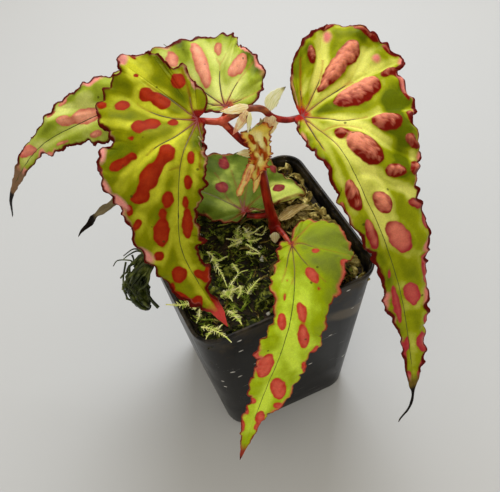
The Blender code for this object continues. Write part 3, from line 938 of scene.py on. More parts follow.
        # The red: paler on the crowns of the blotches as a painted highlight and on their side towards the
        # stalk as painted light, and grainy where they are raised. The flushes are partly painted light on
        # the blotches' upper sides.
        red_tone_and_light = 0.4 * crown + self.redness + 0.15 * lumps
        red_tone_and_light = red_tone_and_light + raised * (0.3 * lumps + 0.28 * wrinkles + self.shaded * behind)
        for oval, amount in self.flushes:
            red_tone_and_light = red_tone_and_light + amount * fade(-self.one_spot(flat, *oval), -2.0, 2.0)
        rim = np.maximum(0.3, self.rim[0] + self.rim[1] * rolling(distance, self.seed + 11, 6.0)) - edge
        tooth = self.patches * (rolling(distance, self.seed + 17, 6.0) - 0.12) * self.teeth[half]
        tooth = tooth + 0.35 - edge
        for oval in self.pinks:
            tooth = np.maximum(tooth, 0.4 - self.one_spot(flat, *oval))
        # The star at the stalk runs out along the veins as threads.
        thread = np.exp(-stalk / (2.5 * self.star)) * 0.7 - vein - 0.12
        star = np.maximum(self.star + 0.8 * lumps - stalk, np.where(stalk < 24, thread, -9.0))
        return {"lift": lift, "flat": np.column_stack([flat, np.zeros(len(flat))]), "light": light,
                "blotch": blotch, "crown": red_tone_and_light, "rim": rim, "tooth": tooth, "star": star,
                "along": flat[:, 0]}

    @staticmethod
    def one_spot(flat: Array, along: float, across: float, long: float, wide: float,
                 turn: float) -> Array:
        """Distances to one oval spot.

        Args:
            flat: points along and across the midrib.
            along: its middle's place along the midrib.
            across: its middle's place to the midrib's left.
            long: its half length.
            wide: its half width.
            turn: its turn in degrees.

        Returns:
            How far outside the spot each point lies, below 0 inside it.
        """
        cos, sin = math.cos(math.radians(turn)), math.sin(math.radians(turn))
        u, v = flat[:, 0] - along, flat[:, 1] - across
        x, y = (u * cos + v * sin), (v * cos - u * sin)
        near = np.hypot(x / long, y / wide)
        slope = np.hypot(x / long ** 2, y / wide ** 2)
        return near * (near - 1) / np.maximum(slope, 1e-6)

    def spot_field(self, flat: Array) -> tuple[Array, Array]:
        """Works out the blotches; those that touch run together.

        Args:
            flat: points along and across the midrib.

        Returns:
            Each point's depth inside them, below 0 outside, and how far towards the stalk it lies in the
            nearest one, from -1 to 1.
        """
        depth = np.full(len(flat), -9.0)
        behind = np.zeros(len(flat))
        soft = 1.9
        for spot in self.spots:
            inside = -self.one_spot(flat, *spot)
            behind = np.where(inside > depth, np.clip((spot[0] - flat[:, 0]) / 4.0, -1, 1), behind)
            blend = np.clip(0.5 + 0.5 * (inside - depth) / soft, 0, 1)
            depth = depth * (1 - blend) + inside * blend + soft * blend * (1 - blend)
        return depth + 0.45 * noise_at(flat, self.seed + 3, 2.1), behind

    def resting(self, flat: Array) -> Array:
        """Heights of the blade's middle surface, from the modelled points round each place.

        Args:
            flat: points along and across the midrib.

        Returns:
            The height at each of them.
        """
        known = np.vstack([places for places, _ in self.laid])
        lifts = np.concatenate([heights for _, heights in self.laid])
        found = []
        for place in flat:
            gap = np.hypot(*(known - place).T)
            near = np.argpartition(gap, 4)[:4]
            weight = 1 / (gap[near] + 0.05)
            found.append(float(np.sum(weight * lifts[near]) / np.sum(weight)))
        return np.array(found)

    def vein_net(self) -> Piece:
        """Models the ribs: thick under the blade, and just proud of it as thin lines on top."""
        strands = []
        runs = [(self.midrib.length - 1.0, self.middle, 0.8)]
        runs += [(flat_line(vein, spans=8).length, rib, 0.5) for vein, rib in zip(self.veins, self.ribs)]
        for length, rib, girth in runs:
            line = flat_line(rib, spans=4)
            places = line.at(np.linspace(0.3, length, max(8, round(length / 0.9))))[:, :2]
            radii = girth * np.linspace(1.0, 0.22, len(places))
            share = np.linspace(0.0, 1.0, len(places))
            # The midrib shows nearly to the tip, side veins from the stalk half way, and others never.
            shows = 0.9 if girth > 0.6 else 0.55 if np.hypot(*rib[0]) < 5 else 0.0
            shows *= self.ribbed
            proud = 0.05 + 0.07 * (1 - share) - 0.4 * fade(share, shows - 0.12, shows)
            lift = self.resting(places) + self.thickness / 2 + proud - radii
            strands.append((self.bend(places[:, 0], places[:, 1], lift), radii))
        net = tubes(self.name + "_veins", strands, resolution=2)
        centre = self.bend(np.array([0.5]), np.array([0.0]), np.array([0.2]))[0]
        centre = tuple(float(value) for value in centre)
        dress(net, Rib(self.name + "_ribs", centre, reach=3.2 * self.star, olive=self.rib))
        return settle(net, self.name + "_veins", self.slot)

    def build(self) -> Piece:
        """Models the blade and gives it its thickness, its skins and its place."""
        other = self.half(1)
        # Its grid is mirrored, so its faces are turned over before it is joined to the left half.
        start_edit(other)
        bpy.ops.mesh.flip_normals()
        stop_edit()
        blade = join([self.half(0), other])
        merge_close(blade)
        dress(blade, self.skin, self.back)
        apply_modifier(blade, "SOLIDIFY", thickness=self.thickness * MM, offset=0.0, material_offset=1)
        blade.data.shade_smooth()
        if self.veins:
            self.vein_net()
        stands_for = [self.name] if self.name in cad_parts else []
        return settle(blade, self.name + "_blade", self.slot, *stands_for)


def bract(name: str, spine: list[Point], facing: Point, width: float, skin: Finish, relief: Relief,
          slot: str = "stipule") -> Leaf:
    """A small papery blade with a plain pointed outline.

    Args:
        name: the CAD node that it stands for.
        spine: its midrib, from one point behind its base.
        facing: the way that its upper side looks.
        width: how wide each half is.
        skin: the finish of both of its sides.
        relief: how crumpled it is.
        slot: the record's material slot.

    Returns:
        The blade, ready to build.
    """
    length = Line(spine, start=1).length
    left = [(0.0, 0.35 * width), (0.3 * length, width), (0.7 * length, 0.6 * width)]
    right = [(along, -across) for along, across in left]
    return Leaf(name=name, spine=spine, facing=[facing] * len(spine), left=left, right=right,
                curl=(0.12, 0.12), fans=(0, 0), rows=(8, 8), columns=36, skin=skin, back=skin, relief=relief,
                thickness=0.35, tooth=0.3, tooth_length=1.9, ripple=0.1, wave=0.0, patches=0.0, star=0.0,
                seed=3.0 * width + length, slot=slot)


@dataclass
class Pot:
    """The square nursery pot: a thin shell with bowed walls, a proud lip and four drain holes."""

    height: float = 86.0
    base: float = 56.0
    top: float = 76.0
    wall: float = 1.1
    corner: float = 9.0
    foot: float = 1.6
    bulge: float = 0.9
    lip: float = 2.2
    lip_proud: float = 0.7
    lip_step: float = 0.5
    drain: float = 4.0
    drain_at: float = 17.5
    edge: float = 0.28
    levels: int = 12
    uprights: tuple[float, ...] = (-21.0, -14.0, -7.0, 0.0, 7.0, 14.0, 21.0)
    plastic: PotPlastic = field(default_factory=PotPlastic)

    def shell(self) -> Piece:
        """Models the outer surface as an open tapered box with rounded edges and enough cuts to bow it."""
        pot = start_from(bpy.ops.mesh.primitive_cube_add, size=1)
        start_edit(pot)
        bpy.ops.transform.resize(value=(self.base * MM, self.base * MM, self.height * MM))
        bpy.ops.transform.translate(value=(0, 0, self.height * MM / 2))
        pick(pot, Part.FACE, lambda face: face.normal.z > 0.9)
        bpy.ops.transform.resize(value=(self.top / self.base, self.top / self.base, 1))
        bpy.ops.mesh.delete(type="FACE")
        pick(pot, Part.EDGE, lambda edge: abs(edge.verts[0].co.z - edge.verts[1].co.z) > MM)
        bpy.ops.mesh.bevel(offset=self.corner * MM, segments=10)
        pick(pot, Part.EDGE, lambda edge: max(vert.co.z for vert in edge.verts) < 0.01 * MM)
        bpy.ops.mesh.bevel(offset=self.foot * MM, segments=4)
        lip = self.height - self.lip
        levels = [lip * step / self.levels for step in range(1, self.levels)]
        bpy.ops.mesh.select_mode(type="FACE")
        for level in (*levels, lip - self.lip_step, lip):
            bpy.ops.mesh.select_all(action="SELECT")
            bpy.ops.mesh.bisect(plane_co=(0, 0, level * MM), plane_no=(0, 0, 1))
        for place in self.uprights:
            for normal in ((1, 0, 0), (0, 1, 0)):
                bpy.ops.mesh.select_all(action="SELECT")
                bpy.ops.mesh.bisect(plane_co=[place * MM * value for value in normal], plane_no=normal)
        stop_edit()
        return pot

    def swell(self, pot: Piece) -> None:
        """Bows the walls out a little and sets the lip proud."""
        points = read_points(pot.data)
        share = points[:, 2] / self.height
        half = (self.base + (self.top - self.base) * share) / 2
        outward = points[:, :2] / np.maximum(np.linalg.norm(points[:, :2], axis=1, keepdims=True), 1e-6)
        bow = self.bulge * 4 * share * (1 - share)
        flat = points[:, :2].copy()
        for axis in (0, 1):
            on_wall = np.abs(np.abs(flat[:, axis]) - half) < 0.02
            push = bow * (1 - (flat[:, 1 - axis] / half) ** 2) * np.sign(flat[:, axis])
            points[:, axis] += np.where(on_wall, push, 0.0)
        in_lip = points[:, 2] > self.height - self.lip - self.lip_step / 2
        points[:, :2] += np.where(in_lip[:, None], outward * self.lip_proud, 0.0)
        write_points(pot.data, points)

    def drains(self, pot: Piece) -> None:
        """Cuts the four drain holes."""
        for x, y in ((-1, -1), (1, -1), (1, 1), (-1, 1)):
            cutter = start_from(bpy.ops.mesh.primitive_cylinder_add, vertices=40, radius=self.drain * MM,
                                depth=10 * MM, location=(x * self.drain_at * MM, y * self.drain_at * MM, 0))
            apply_modifier(pot, "BOOLEAN", operation="DIFFERENCE", object=cutter)
            bpy.data.objects.remove(cutter)

    def build(self) -> Piece:
        """Models the pot and dresses it."""
        pot = self.shell()
        self.swell(pot)
        apply_modifier(pot, "SOLIDIFY", thickness=self.wall * MM, offset=-1.0, use_even_offset=True)
        apply_modifier(pot, "BEVEL", width=self.edge * MM, segments=3, limit_method="ANGLE",
                       angle_limit=math.radians(40))
        self.drains(pot)
        face_outwards(pot)
        select_only(pot)
        bpy.ops.object.shade_smooth_by_angle(angle=math.radians(32))
        dress(pot, self.plastic)
        return settle(pot, "pot_shell", "pot_plastic", "pot")


@dataclass
class GrowingMedium:
    """Peat that fills the pot, with white perlite, bark chips and crumbs on its lumpy top."""

    pot: Pot
    gap: float = 0.35
    level: float = 78.5
    rise: float = 2.2
    cuts: int = 150
    perlite: int = 46
    bark: int = 190
    reach: float = 33.0
    seed: int = 5
    # Damp peat is nearly black and matt; perlite is white porous glass; composted bark is a dull brown.
    peat: Mottled = Mottled("damp_peat", ("#0D0A07", "#1D160D", "#35280F", "#3F3A1A"), grain=1.4,
                            roughness=0.85, bump=0.5)
    stone: Mottled = Mottled("perlite", ("#A9A596", "#D9D6C9", "#F0EEE4"), grain=0.5, roughness=0.8,
                             bump=0.2)
    wood: Mottled = Mottled("composted_bark", ("#1A110A", "#352414", "#5A4424"), grain=0.8, roughness=0.8,
                            bump=0.2)

    def height(self, x: float, y: float) -> float:
        """Height of the top surface at a place, without its finest crumbs."""
        lumps = 1.3 * noise.noise(Vector((x, y, 0)) / 9.0)
        return self.level + lumps + self.rise * max(0.0, (x + y) / self.pot.top)

    def block(self) -> Piece:
        """Models the body of peat, from a grid drawn into the pot's rounded square and down to its floor."""
        slope = (self.pot.top - self.pot.base) / 2 / self.pot.height
        inset = self.pot.wall + self.gap
        half = self.pot.base / 2 + slope * self.level - inset
        low_half = self.pot.base / 2 + slope * inset - inset - 0.5
        medium = start_from(bpy.ops.mesh.primitive_grid_add, x_subdivisions=self.cuts,
                            y_subdivisions=self.cuts, size=2)
        points = read_points(medium.data) * MM
        flat = points[:, :2] * half
        straight = half - self.pot.corner
        past = np.maximum(np.abs(flat) - straight, 0.0)
        reach = np.maximum(np.linalg.norm(past, axis=1, keepdims=True), 1e-6)
        round_off = np.minimum(past.max(axis=1, keepdims=True) / reach, 1.0)
        flat = np.sign(flat) * (np.minimum(np.abs(flat), straight) + past * round_off)
        crumbs = 0.7 * noise_at(flat, 3, 2.4) + 0.45 * noise_at(flat, 9, 0.9)
        top = np.array([self.height(x, y) for x, y in flat]) + crumbs
        count = len(points)
        write_points(medium.data, np.column_stack([flat, top]))
        start_edit(medium)
        bpy.ops.mesh.region_to_loop()
        bpy.ops.mesh.extrude_edges_move(TRANSFORM_OT_translate={"value": (0, 0, -10 * MM)})
        stop_edit()
        points = read_points(medium.data)
        points[count:, :2] *= low_half / half
        points[count:, 2] = inset
        write_points(medium.data, points)
        start_edit(medium)
        pick(medium, Part.POINT, lambda point: point.index >= count)
        bpy.ops.mesh.edge_face_add()
        stop_edit()
        face_outwards(medium)
        return medium

    def pebble(self, name: str, radius: float, rough: float) -> Piece:
        """Models one uneven grain at the origin, to be copied.

        Args:
            name: the object's name.
            radius: its radius in millimetres.
            rough: how uneven it is, as a share of the radius.

        Returns:
            The grain.
        """
        grain = start_from(bpy.ops.mesh.primitive_ico_sphere_add, subdivisions=2, radius=radius * MM)
        grain.name = name
        points = read_points(grain.data)
        swell = [1 + rough * noise.noise(Vector(point) / radius * 1.3) for point in points]
        write_points(grain.data, points * np.array(swell)[:, None] * (1.0, 0.8, 0.65))
        grain.data.shade_smooth()
        return grain

    def chip(self) -> Piece:
        """Models one splinter of bark at the origin, to be copied."""
        chip = start_from(bpy.ops.mesh.primitive_cube_add, size=MM)
        start_edit(chip)
        bpy.ops.transform.resize(value=(2.6, 1.2, 0.5))
        bpy.ops.mesh.subdivide(number_cuts=1)
        pick(chip, Part.FACE, lambda face: face.calc_center_median().x > 0.9 * MM)
        bpy.ops.transform.resize(value=(1, 0.5, 0.4))
        stop_edit()
        points = read_points(chip.data)
        # Blender starts its vector noise from the clock, so a fixed start makes each run the same.
        noise.seed_set(self.seed)
        shift = [noise.noise_vector(Vector(point) * 1.7) * 0.35 for point in points]
        write_points(chip.data, points + np.array(shift))
        return chip

    def spread(self, count: int, sizes: tuple[float, float], sink: float) -> list[Matrix]:
        """Places for loose grains on the top surface, each turned and sized at random.

        Args:
            count: how many there are.
            sizes: the smallest and the largest size.
            sink: how far each one's middle lies over the surface, as a share of its size.

        Returns:
            The places.
        """
        dice = random.Random(self.seed + count)
        places = []
        while len(places) < count:
            x, y = dice.uniform(-self.reach, self.reach), dice.uniform(-self.reach, self.reach)
            if math.hypot(x - STEM_FOOT[0], y - STEM_FOOT[1]) > 4.0:
                turn = Matrix.Rotation(dice.uniform(0, math.tau), 4, "Z")
                turn = turn @ Matrix.Rotation(dice.uniform(-0.5, 0.5), 4, "X")
                size = dice.uniform(*sizes)
                spot = Vector((x, y, self.height(x, y) + sink * size)) * MM
                places.append(Matrix.Translation(spot) @ turn @ Matrix.Scale(size, 4))
        return places

    def build(self) -> None:
        """Models the peat and the loose grains on it and dresses them."""
        medium = self.block()
        medium.data.shade_smooth()
        dress(medium, self.peat)
        settle(medium, "peat_block", "medium", "growing_medium")
        stones = copies(self.pebble("perlite", radius=0.75, rough=0.6),
                        self.spread(self.perlite, sizes=(0.5, 1.5), sink=0.35))
        dress(stones, self.stone)
        settle(stones, "perlite_grains", "medium")
        chips = copies(self.chip(), self.spread(self.bark, sizes=(0.5, 1.6), sink=0.25))
        dress(chips, self.wood)
        settle(chips, "bark_chips", "medium")


@dataclass
class MossBed:
    """Moss on the medium: dark strands, dead ones with their curled leaves, and olive and fresh sprigs."""

    medium: GrowingMedium
    sprigs: list[list[Point]]
    dark: int = 260
    dead: int = 200
    dead_leaves: int = 120
    leaves: int = 60
    olives: int = 60
    lifted: float = 1.2
    reach: float = 34.0
    damp_to: float = 10.0
    dusty_from: float = 12.0
    open_to: Flat = (6.0, -32.0)
    seed: int = 11
    # Fresh moss is yellow green painted nearly white as a painted highlight, older moss olive, the tangle's
    # moss nearly black, partly its own wet dark green and partly painted shade, and dead moss straw brown.
    # None of them shines.
    fresh: Mottled = Mottled("fresh_moss_with_painted_light", ("#B8DC50", "#F6FA90", "#FFFFDC"), grain=2.2,
                             roughness=0.6, bump=0.05, shine=0.2)
    olive: Mottled = Mottled("olive_feather_moss", ("#3E5A10", "#8CA42C", "#DCE470"), grain=2.2,
                             roughness=0.6, bump=0.05, shine=0.2)
    shade: Mottled = Mottled("shaded_moss", ("#060802", "#2C340A", "#A0A83C"), grain=2.5, roughness=0.6,
                             bump=0.05, through=0.2, shine=0.15)
    dry: Mottled = Mottled("dead_moss", ("#1C1404", "#84702E", "#E6D684"), grain=2.8, roughness=0.7,
                           bump=0.05, through=0.1, shine=0.2)

    def feather(self, name: str, barbs: int, reach: float, girth: float) -> Piece:
        """Models one 10 mm sprig along +X with barbs on both sides, to be copied.

        Args:
            name: the object's name.
            barbs: how many barbs each side has.
            reach: how long the barbs are, in millimetres.
            girth: its radius in millimetres.

        Returns:
            The sprig.
        """
        dice = random.Random(self.seed + barbs)
        run = np.linspace(0, 10, 9)
        stem = np.column_stack([run, np.zeros(9), 0.12 * np.sin(run)])
        strands = [(stem, girth * np.linspace(1.3, 0.6, 9))]
        for number in range(barbs):
            start = 0.5 + 9.2 * number / barbs
            for side in (-1, 1):
                angle = math.radians(dice.uniform(55, 85))
                long = reach * dice.uniform(0.6, 1.1) * math.sin(math.pi * min(1.0, 0.25 + start / 12))
                way = np.array([math.cos(angle), side * math.sin(angle), dice.uniform(-0.3, 0.5)])
                root = np.array([start, 0.0, 0.0])
                barb = np.array([root, root + 0.5 * long * way, root + long * way + (0.25 * long, 0, 0)])
                strands.append((barb, girth * np.array([0.45, 0.4, 0.2])))
        return tubes(name, strands, resolution=0)

    def strand(self, name: str, girth: float) -> Piece:
        """Models one plain 10 mm strand along +X with a few stubs of leaves, to be copied."""
        run = np.linspace(0, 10, 7)
        middle = np.column_stack([run, 0.15 * np.sin(1.3 * run), 0 * run])
        strands = [(middle, girth * np.linspace(1.1, 0.4, 7))]
        for start, side in ((2.5, 1), (4.5, -1), (6.5, 1)):
            root = np.array([start, 0.0, 0.0])
            strands.append((np.array([root, root + (0.9, 0.8 * side, 0.3)]), girth * np.array([0.7, 0.15])))
        return tubes(name, strands, resolution=0)

    def flake(self) -> Piece:
        """Models one curled dead moss leaf, 10 mm long as drawn along +X, to be copied."""
        flake = start_from(bpy.ops.mesh.primitive_grid_add, x_subdivisions=6, y_subdivisions=2, size=10 * MM,
                           location=(5 * MM, 0, 0))
        bpy.ops.object.transform_apply(location=True, rotation=False, scale=False)
        points = read_points(flake.data)
        points[:, 1] *= 0.34 * np.sin(math.pi * np.clip(points[:, 0] / 10, 0.04, 0.98)) ** 0.7
        points[:, 2] = 0.35 * np.abs(points[:, 1]) + 0.2 * np.sin(points[:, 0])
        write_points(flake.data, points)
        apply_modifier(flake, "SOLIDIFY", thickness=0.18 * MM, offset=0.0)
        return flake

    def lying(self, dice: random.Random, x: float, y: float, length: float) -> Array:
        """Draws a curling line that lies on the medium.

        Args:
            dice: the source of chance.
            x: where it starts from left to right.
            y: where it starts from front to back.
            length: its length in millimetres.

        Returns:
            Its points.
        """
        heading, turn = dice.uniform(0, math.tau), dice.uniform(-0.35, 0.35)
        arch = dice.uniform(0.2, 2.2)
        points = []
        for step in range(6):
            edge = self.reach + 1.0 - 0.6 * arch
            x, y = max(-edge, min(edge, x)), max(-edge, min(edge, y))
            rise = 0.2 + arch * math.sin(math.pi * step / 5) + 0.25 * noise.noise(Vector((x, y, step)))
            points.append((x, y, self.medium.height(x, y) + rise))
            heading += turn + dice.uniform(-0.25, 0.25)
            x += length / 5 * math.cos(heading)
            y += length / 5 * math.sin(heading)
        return np.array(points)

    def tangle(self, count: int, wanted: Callable[[float, float], float], seed: int) -> list[Array]:
        """Draws the lines of a tangle.

        Args:
            count: how many there are.
            wanted: how thick they lie at a place, from 0 to 1.
            seed: the start of its own chance.

        Returns:
            The lines.
        """
        dice = random.Random(seed)
        lines = []
        while len(lines) < count:
            x, y = dice.uniform(-self.reach, self.reach), dice.uniform(-self.reach, self.reach)
            if dice.random() < wanted(x, y) and math.hypot(x - STEM_FOOT[0], y - STEM_FOOT[1]) > 3.5:
                lines.append(self.lying(dice, x, y, dice.uniform(5, 14)))
        return lines

    def scattered(self, pattern: Piece, lines: list[Array], finish: Finish, name: str,
                  slot: str) -> None:
        """Bends copies of a pattern along lines and dresses them as one piece.

        Args:
            pattern: the 10 mm pattern.
            lines: for each copy the line that it follows.
            finish: the piece's finish.
            name: the piece's name.
            slot: the record's material slot.
        """
        dice = random.Random(len(lines))
        girths = [dice.uniform(0.7, 1.5) for _ in lines]
        leans = [dice.uniform(-0.8, 0.8) for _ in lines]
        thing = bent_copies(pattern, lines, girths, leans)
        thing.data.shade_smooth()
        dress(thing, finish)
        settle(thing, name, slot)

    def build(self) -> None:
        """Models and dresses all kinds of moss: living ones left of the stem, and dead ones right of it."""
        def damp(x: float, y: float) -> float:
            """How thick living moss lies at a place."""
            return 1.0 if x < self.damp_to else 0.15

        def dusty(x: float, y: float) -> float:
            """How thick dead moss lies at a place."""
            return 1.0 if x > self.dusty_from else 0.06

        def open_ground(x: float, y: float) -> float:
            """How thick olive sprigs lie at a place."""
            return 1.0 if x < self.open_to[0] and y > self.open_to[1] else 0.0

        seed = self.seed
        self.scattered(self.strand("moss_strand", girth=0.3), self.tangle(self.dark, damp, seed), self.shade,
                       "moss_tangle", "moss")
        self.scattered(self.strand("dead_strand", girth=0.3), self.tangle(self.dead, dusty, seed + 1),
                       self.dry, "dead_moss_tangle", "dry_litter")
        self.scattered(self.flake(), self.tangle(self.dead_leaves, dusty, seed + 3), self.dry,
                       "dead_moss_leaves", "dry_litter")
        self.scattered(self.flake(), self.tangle(self.leaves, damp, seed + 4), self.shade,
                       "moss_leaves", "moss")
        self.scattered(self.feather("olive_sprig", barbs=11, reach=1.4, girth=0.26),
                       self.tangle(self.olives, open_ground, seed + 2), self.olive,
                       "moss_olive_sprigs", "moss")
        lines = [np.array(line) + (0.0, 0.0, self.lifted) for line in self.sprigs]
        self.scattered(self.feather("fresh_sprig", barbs=13, reach=1.7, girth=0.34), lines, self.fresh,
                       "moss_fresh_sprigs", "moss")


@dataclass
class MossOverhang:
    """The dark clump of moss that hangs over the pot's left wall, with loose tendrils and a dead twig."""

    path: list[Point]
    radii: list[float]
    tendrils: list[list[Point]]
    twig: list[Point]
    strands: int = 48
    seed: int = 21
    # Moss that is wet through: almost black, with the shine of water on its strands.
    dark: Mottled = Mottled("wet_hanging_moss", ("#10140A", "#323C14", "#6E7834"), grain=5.0, roughness=0.3,
                            bump=0.05, through=0.1, shine=0.3)

    def core(self) -> Piece:
        """Models the dense inside of the clump."""
        line = Line(self.path)
        sizes = smooth_sizes(self.radii)[:, 0]
        core = tubes("moss_core", [(line.line[::4], 0.8 * sizes[::4])], resolution=6)
        points = read_points(core.data)
        normals = np.array([vertex.normal for vertex in core.data.vertices])
        lumps = [0.9 * noise.noise(Vector(point) / 2.6) + 0.4 * noise.noise(Vector(point) / 0.9)
                 for point in points]
        write_points(core.data, points + normals * np.array(lumps)[:, None])
        return core

    def combed(self) -> list[Strand]:
        """Strands that run along the clump's path and curl round it."""
        dice = random.Random(self.seed)
        line = Line(self.path)
        sizes = smooth_sizes(self.radii)
        made = []
        for _ in range(self.strands):
            start = dice.uniform(0.02, 0.82) * line.length
            run = dice.uniform(8, 22)
            distance = np.clip(np.linspace(start, start + run, 10), 0, line.length - 0.2)
            angle = dice.uniform(0, math.tau) + np.linspace(0, dice.uniform(-2.4, 2.4), 10)
            bumps = [noise.noise(Vector((turn, start, number * 0.6))) for number, turn in enumerate(angle)]
            out = dice.uniform(0.8, 1.8) + 0.6 * np.array(bumps)
            ahead = line.ahead(distance)
            side = np.cross(ahead, (0.0, 1.0, 0.0))
            side = side / np.linalg.norm(side, axis=1, keepdims=True)
            up = np.cross(side, ahead)
            reach = (line.at(distance, sizes)[:, 0] * out)[:, None]
            round_it = side * np.cos(angle)[:, None] + up * np.sin(angle)[:, None]
            points = line.at(distance) + reach * round_it
            made.append((points, dice.uniform(0.5, 1.15) * np.linspace(1.0, 0.5, 10)))
        return made

    def build(self) -> Piece:
        """Models the clump with its strands, tendrils and twig, and dresses it."""
        loose = [(Line(points, spans=6).line, np.linspace(0.46, 0.2, 6 * (len(points) - 1) + 1))
                 for points in self.tendrils]
        twig = Line(self.twig, spans=6).line
        loose.append((twig, np.linspace(0.55, 0.75, len(twig))))
        clump = join([self.core(), tubes("moss_strands", self.combed()), tubes("moss_tendrils", loose)])
        clump.data.shade_smooth()
        dress(clump, self.dark)
        return settle(clump, "moss_clump", "moss", "moss_overhang")


@dataclass
class Stem:
    """The red main stem with its swollen joints and a petiole to each leaf, grown together into one skin."""

    lines: list[tuple[list[Point], list[float]]]
    joints: list[tuple[Point, float]]
    swell: float = 1.2
    grain: float = 0.27
    # A smooth living skin with a soft gloss: dark red, paler on petioles and brown on the top joint.
    skin: Mottled = Mottled("begonia_stem_skin", ("#580804", "#8C140A", "#B4301C"), grain=3.0,
                            stretch=(1.0, 1.0, 3.0), roughness=0.36, bump=0.12, through=0.2, shine=0.3)
    young: Mottled = Mottled("begonia_petiole_skin", ("#922A16", "#B8442A", "#D86646"), grain=3.0,
                             stretch=(3.0, 1.0, 1.0), roughness=0.36, bump=0.12, through=0.2, shine=0.35)
    woody: Mottled = Mottled("begonia_node_skin", ("#5A2010", "#8C4222", "#B46838"), grain=2.0,
                             stretch=(2.0, 1.0, 1.0), roughness=0.42, bump=0.15, through=0.15, shine=0.35)

    @staticmethod
    def tone_of(x: float, y: float, z: float) -> int:
        """Number of the skin at a place: 1 on the paler petioles, 2 on the brown top joint, 0 elsewhere."""
        if z > 142 and x < -0.5 + 0.5 * math.sin(3 * y):
            return 1
        if z > 147 and x < 13.4:
            return 2
        return 1 if y < -7 and z < 100 else 0

    def build(self) -> Piece:
        """Models the stem and dresses it."""
        strands = []
        for points, radii in self.lines:
            line = Line(points, spans=10).line
            strands.append((line, smooth_sizes(radii, spans=10)[:, 0]))
        pieces = [tubes("stem", strands, resolution=3)]
        for centre, radius in self.joints:
            pieces.append(start_from(bpy.ops.mesh.primitive_uv_sphere_add, segments=24, ring_count=14,
                                     radius=radius * self.swell * MM,
                                     location=[value * MM for value in centre]))
        stem = join(pieces)
        apply_modifier(stem, "REMESH", mode="VOXEL", voxel_size=self.grain * MM)
        apply_modifier(stem, "SMOOTH", factor=0.5, iterations=5)
        stem.data.shade_smooth()
        dress(stem, self.skin, self.young, self.woody)
        for face in stem.data.polygons:
            face.material_index = self.tone_of(*(face.center / MM))
        return settle(stem, "stem_skin", "stem", "stem")


@dataclass
class Studio:
    """The pale floor, the soft lights and the camera of the photograph's view.

    The camera looks at the target from the front's left and above, at angles in degrees and a distance in
    millimetres. The floor's side is in metres.
    """

    target: Point = (-1.5, -2.6, 86.0)
    azimuth: float = -19.4
    elevation: float = 49.2
    roll: float = -7.4
    distance: float = 351.0
    lens: float = 63.4
    floor_size: float = 6.0
    room: str = "#FAEFDE"
    room_light: float = 0.58

    def camera(self) -> None:
        """Adds the camera at the photograph's view."""
        a, e, r = (math.radians(value) for value in (self.azimuth, self.elevation, self.roll))
        back = Vector((math.sin(a) * math.cos(e), -math.cos(a) * math.cos(e), math.sin(e)))
        right = (-back).cross(Vector((0, 0, 1))).normalized()
        up = right.cross(-back)
        turned_right = math.cos(r) * right + math.sin(r) * up
        turned_up = -math.sin(r) * right + math.cos(r) * up
        data = bpy.data.cameras.new("camera")
        data.lens = self.lens
        data.sensor_width = 36.0
        data.sensor_fit = "HORIZONTAL"
        data.clip_start, data.clip_end = 0.01, 20.0
        camera = new_object("camera", data)
        place = (Vector(self.target) + back * self.distance) * MM
        axes = Matrix((turned_right, turned_up, back)).transposed()
        camera.matrix_world = Matrix.Translation(place) @ axes.to_4x4()
        bpy.context.scene.camera = camera

    def lamp(self, name: str, place: Point, aim: Point, size: float, power: float, tone: str) -> None:
        """Adds one soft square light.

        Args:
            name: the light's name.
            place: where it stands, in millimetres.
            aim: the point that it faces, in millimetres.
            size: the length of its side, in millimetres.
            power: its power in watts.
            tone: its colour as sRGB hex.
        """
        data = bpy.data.lights.new(name, "AREA")
        data.size = size * MM
        data.energy = power
        data.color = linear(tone)[:3]
        light = new_object(name, data)
        way = Vector(aim) - Vector(place)
        light.location = Vector(place) * MM
        light.rotation_euler = way.to_track_quat("-Z", "Y").to_euler()

    def floor(self) -> None:
        """Adds the plain pale floor, a matt white board with the faintest clouding."""
        floor = start_from(bpy.ops.mesh.primitive_plane_add, size=self.floor_size, location=(0, 0, 0))
        floor.name = "floor"
        made, node, shader = new_material("matt_white_board")
        place = node("TexCoord", {}, "Object")
        cloud = node("TexNoise", {"Vector": place, "Scale": 2.0, "Detail": 2.0})
        whites = [(0.3, "#C5C9CB"), (0.7, "#CCCFD0")]
        colour = node("ValToRGB", {0: cloud}, stops=whites)
        feed(shader, {"Base Color": colour, "Roughness": 0.8})
        floor.data.materials.append(made)

    def build(self) -> None:
        """Sets up the whole studio."""
        self.camera()
        self.floor()
        self.lamp("back_light", place=(150, 260, 520), aim=(10, 40, 60), size=300, power=2.1, tone="#FAFBFF")
        self.lamp("front_fill", place=(-330, -560, 800), aim=(0, 0, 90), size=900, power=1.5, tone="#FFFFFF")
        world = bpy.data.worlds.new("soft_room")
        world.use_nodes = True
        feed(world.node_tree.nodes["Background"], {"Color": self.room, "Strength": self.room_light})
        bpy.context.scene.world = world
        bpy.context.scene.view_settings.view_transform = "Standard"


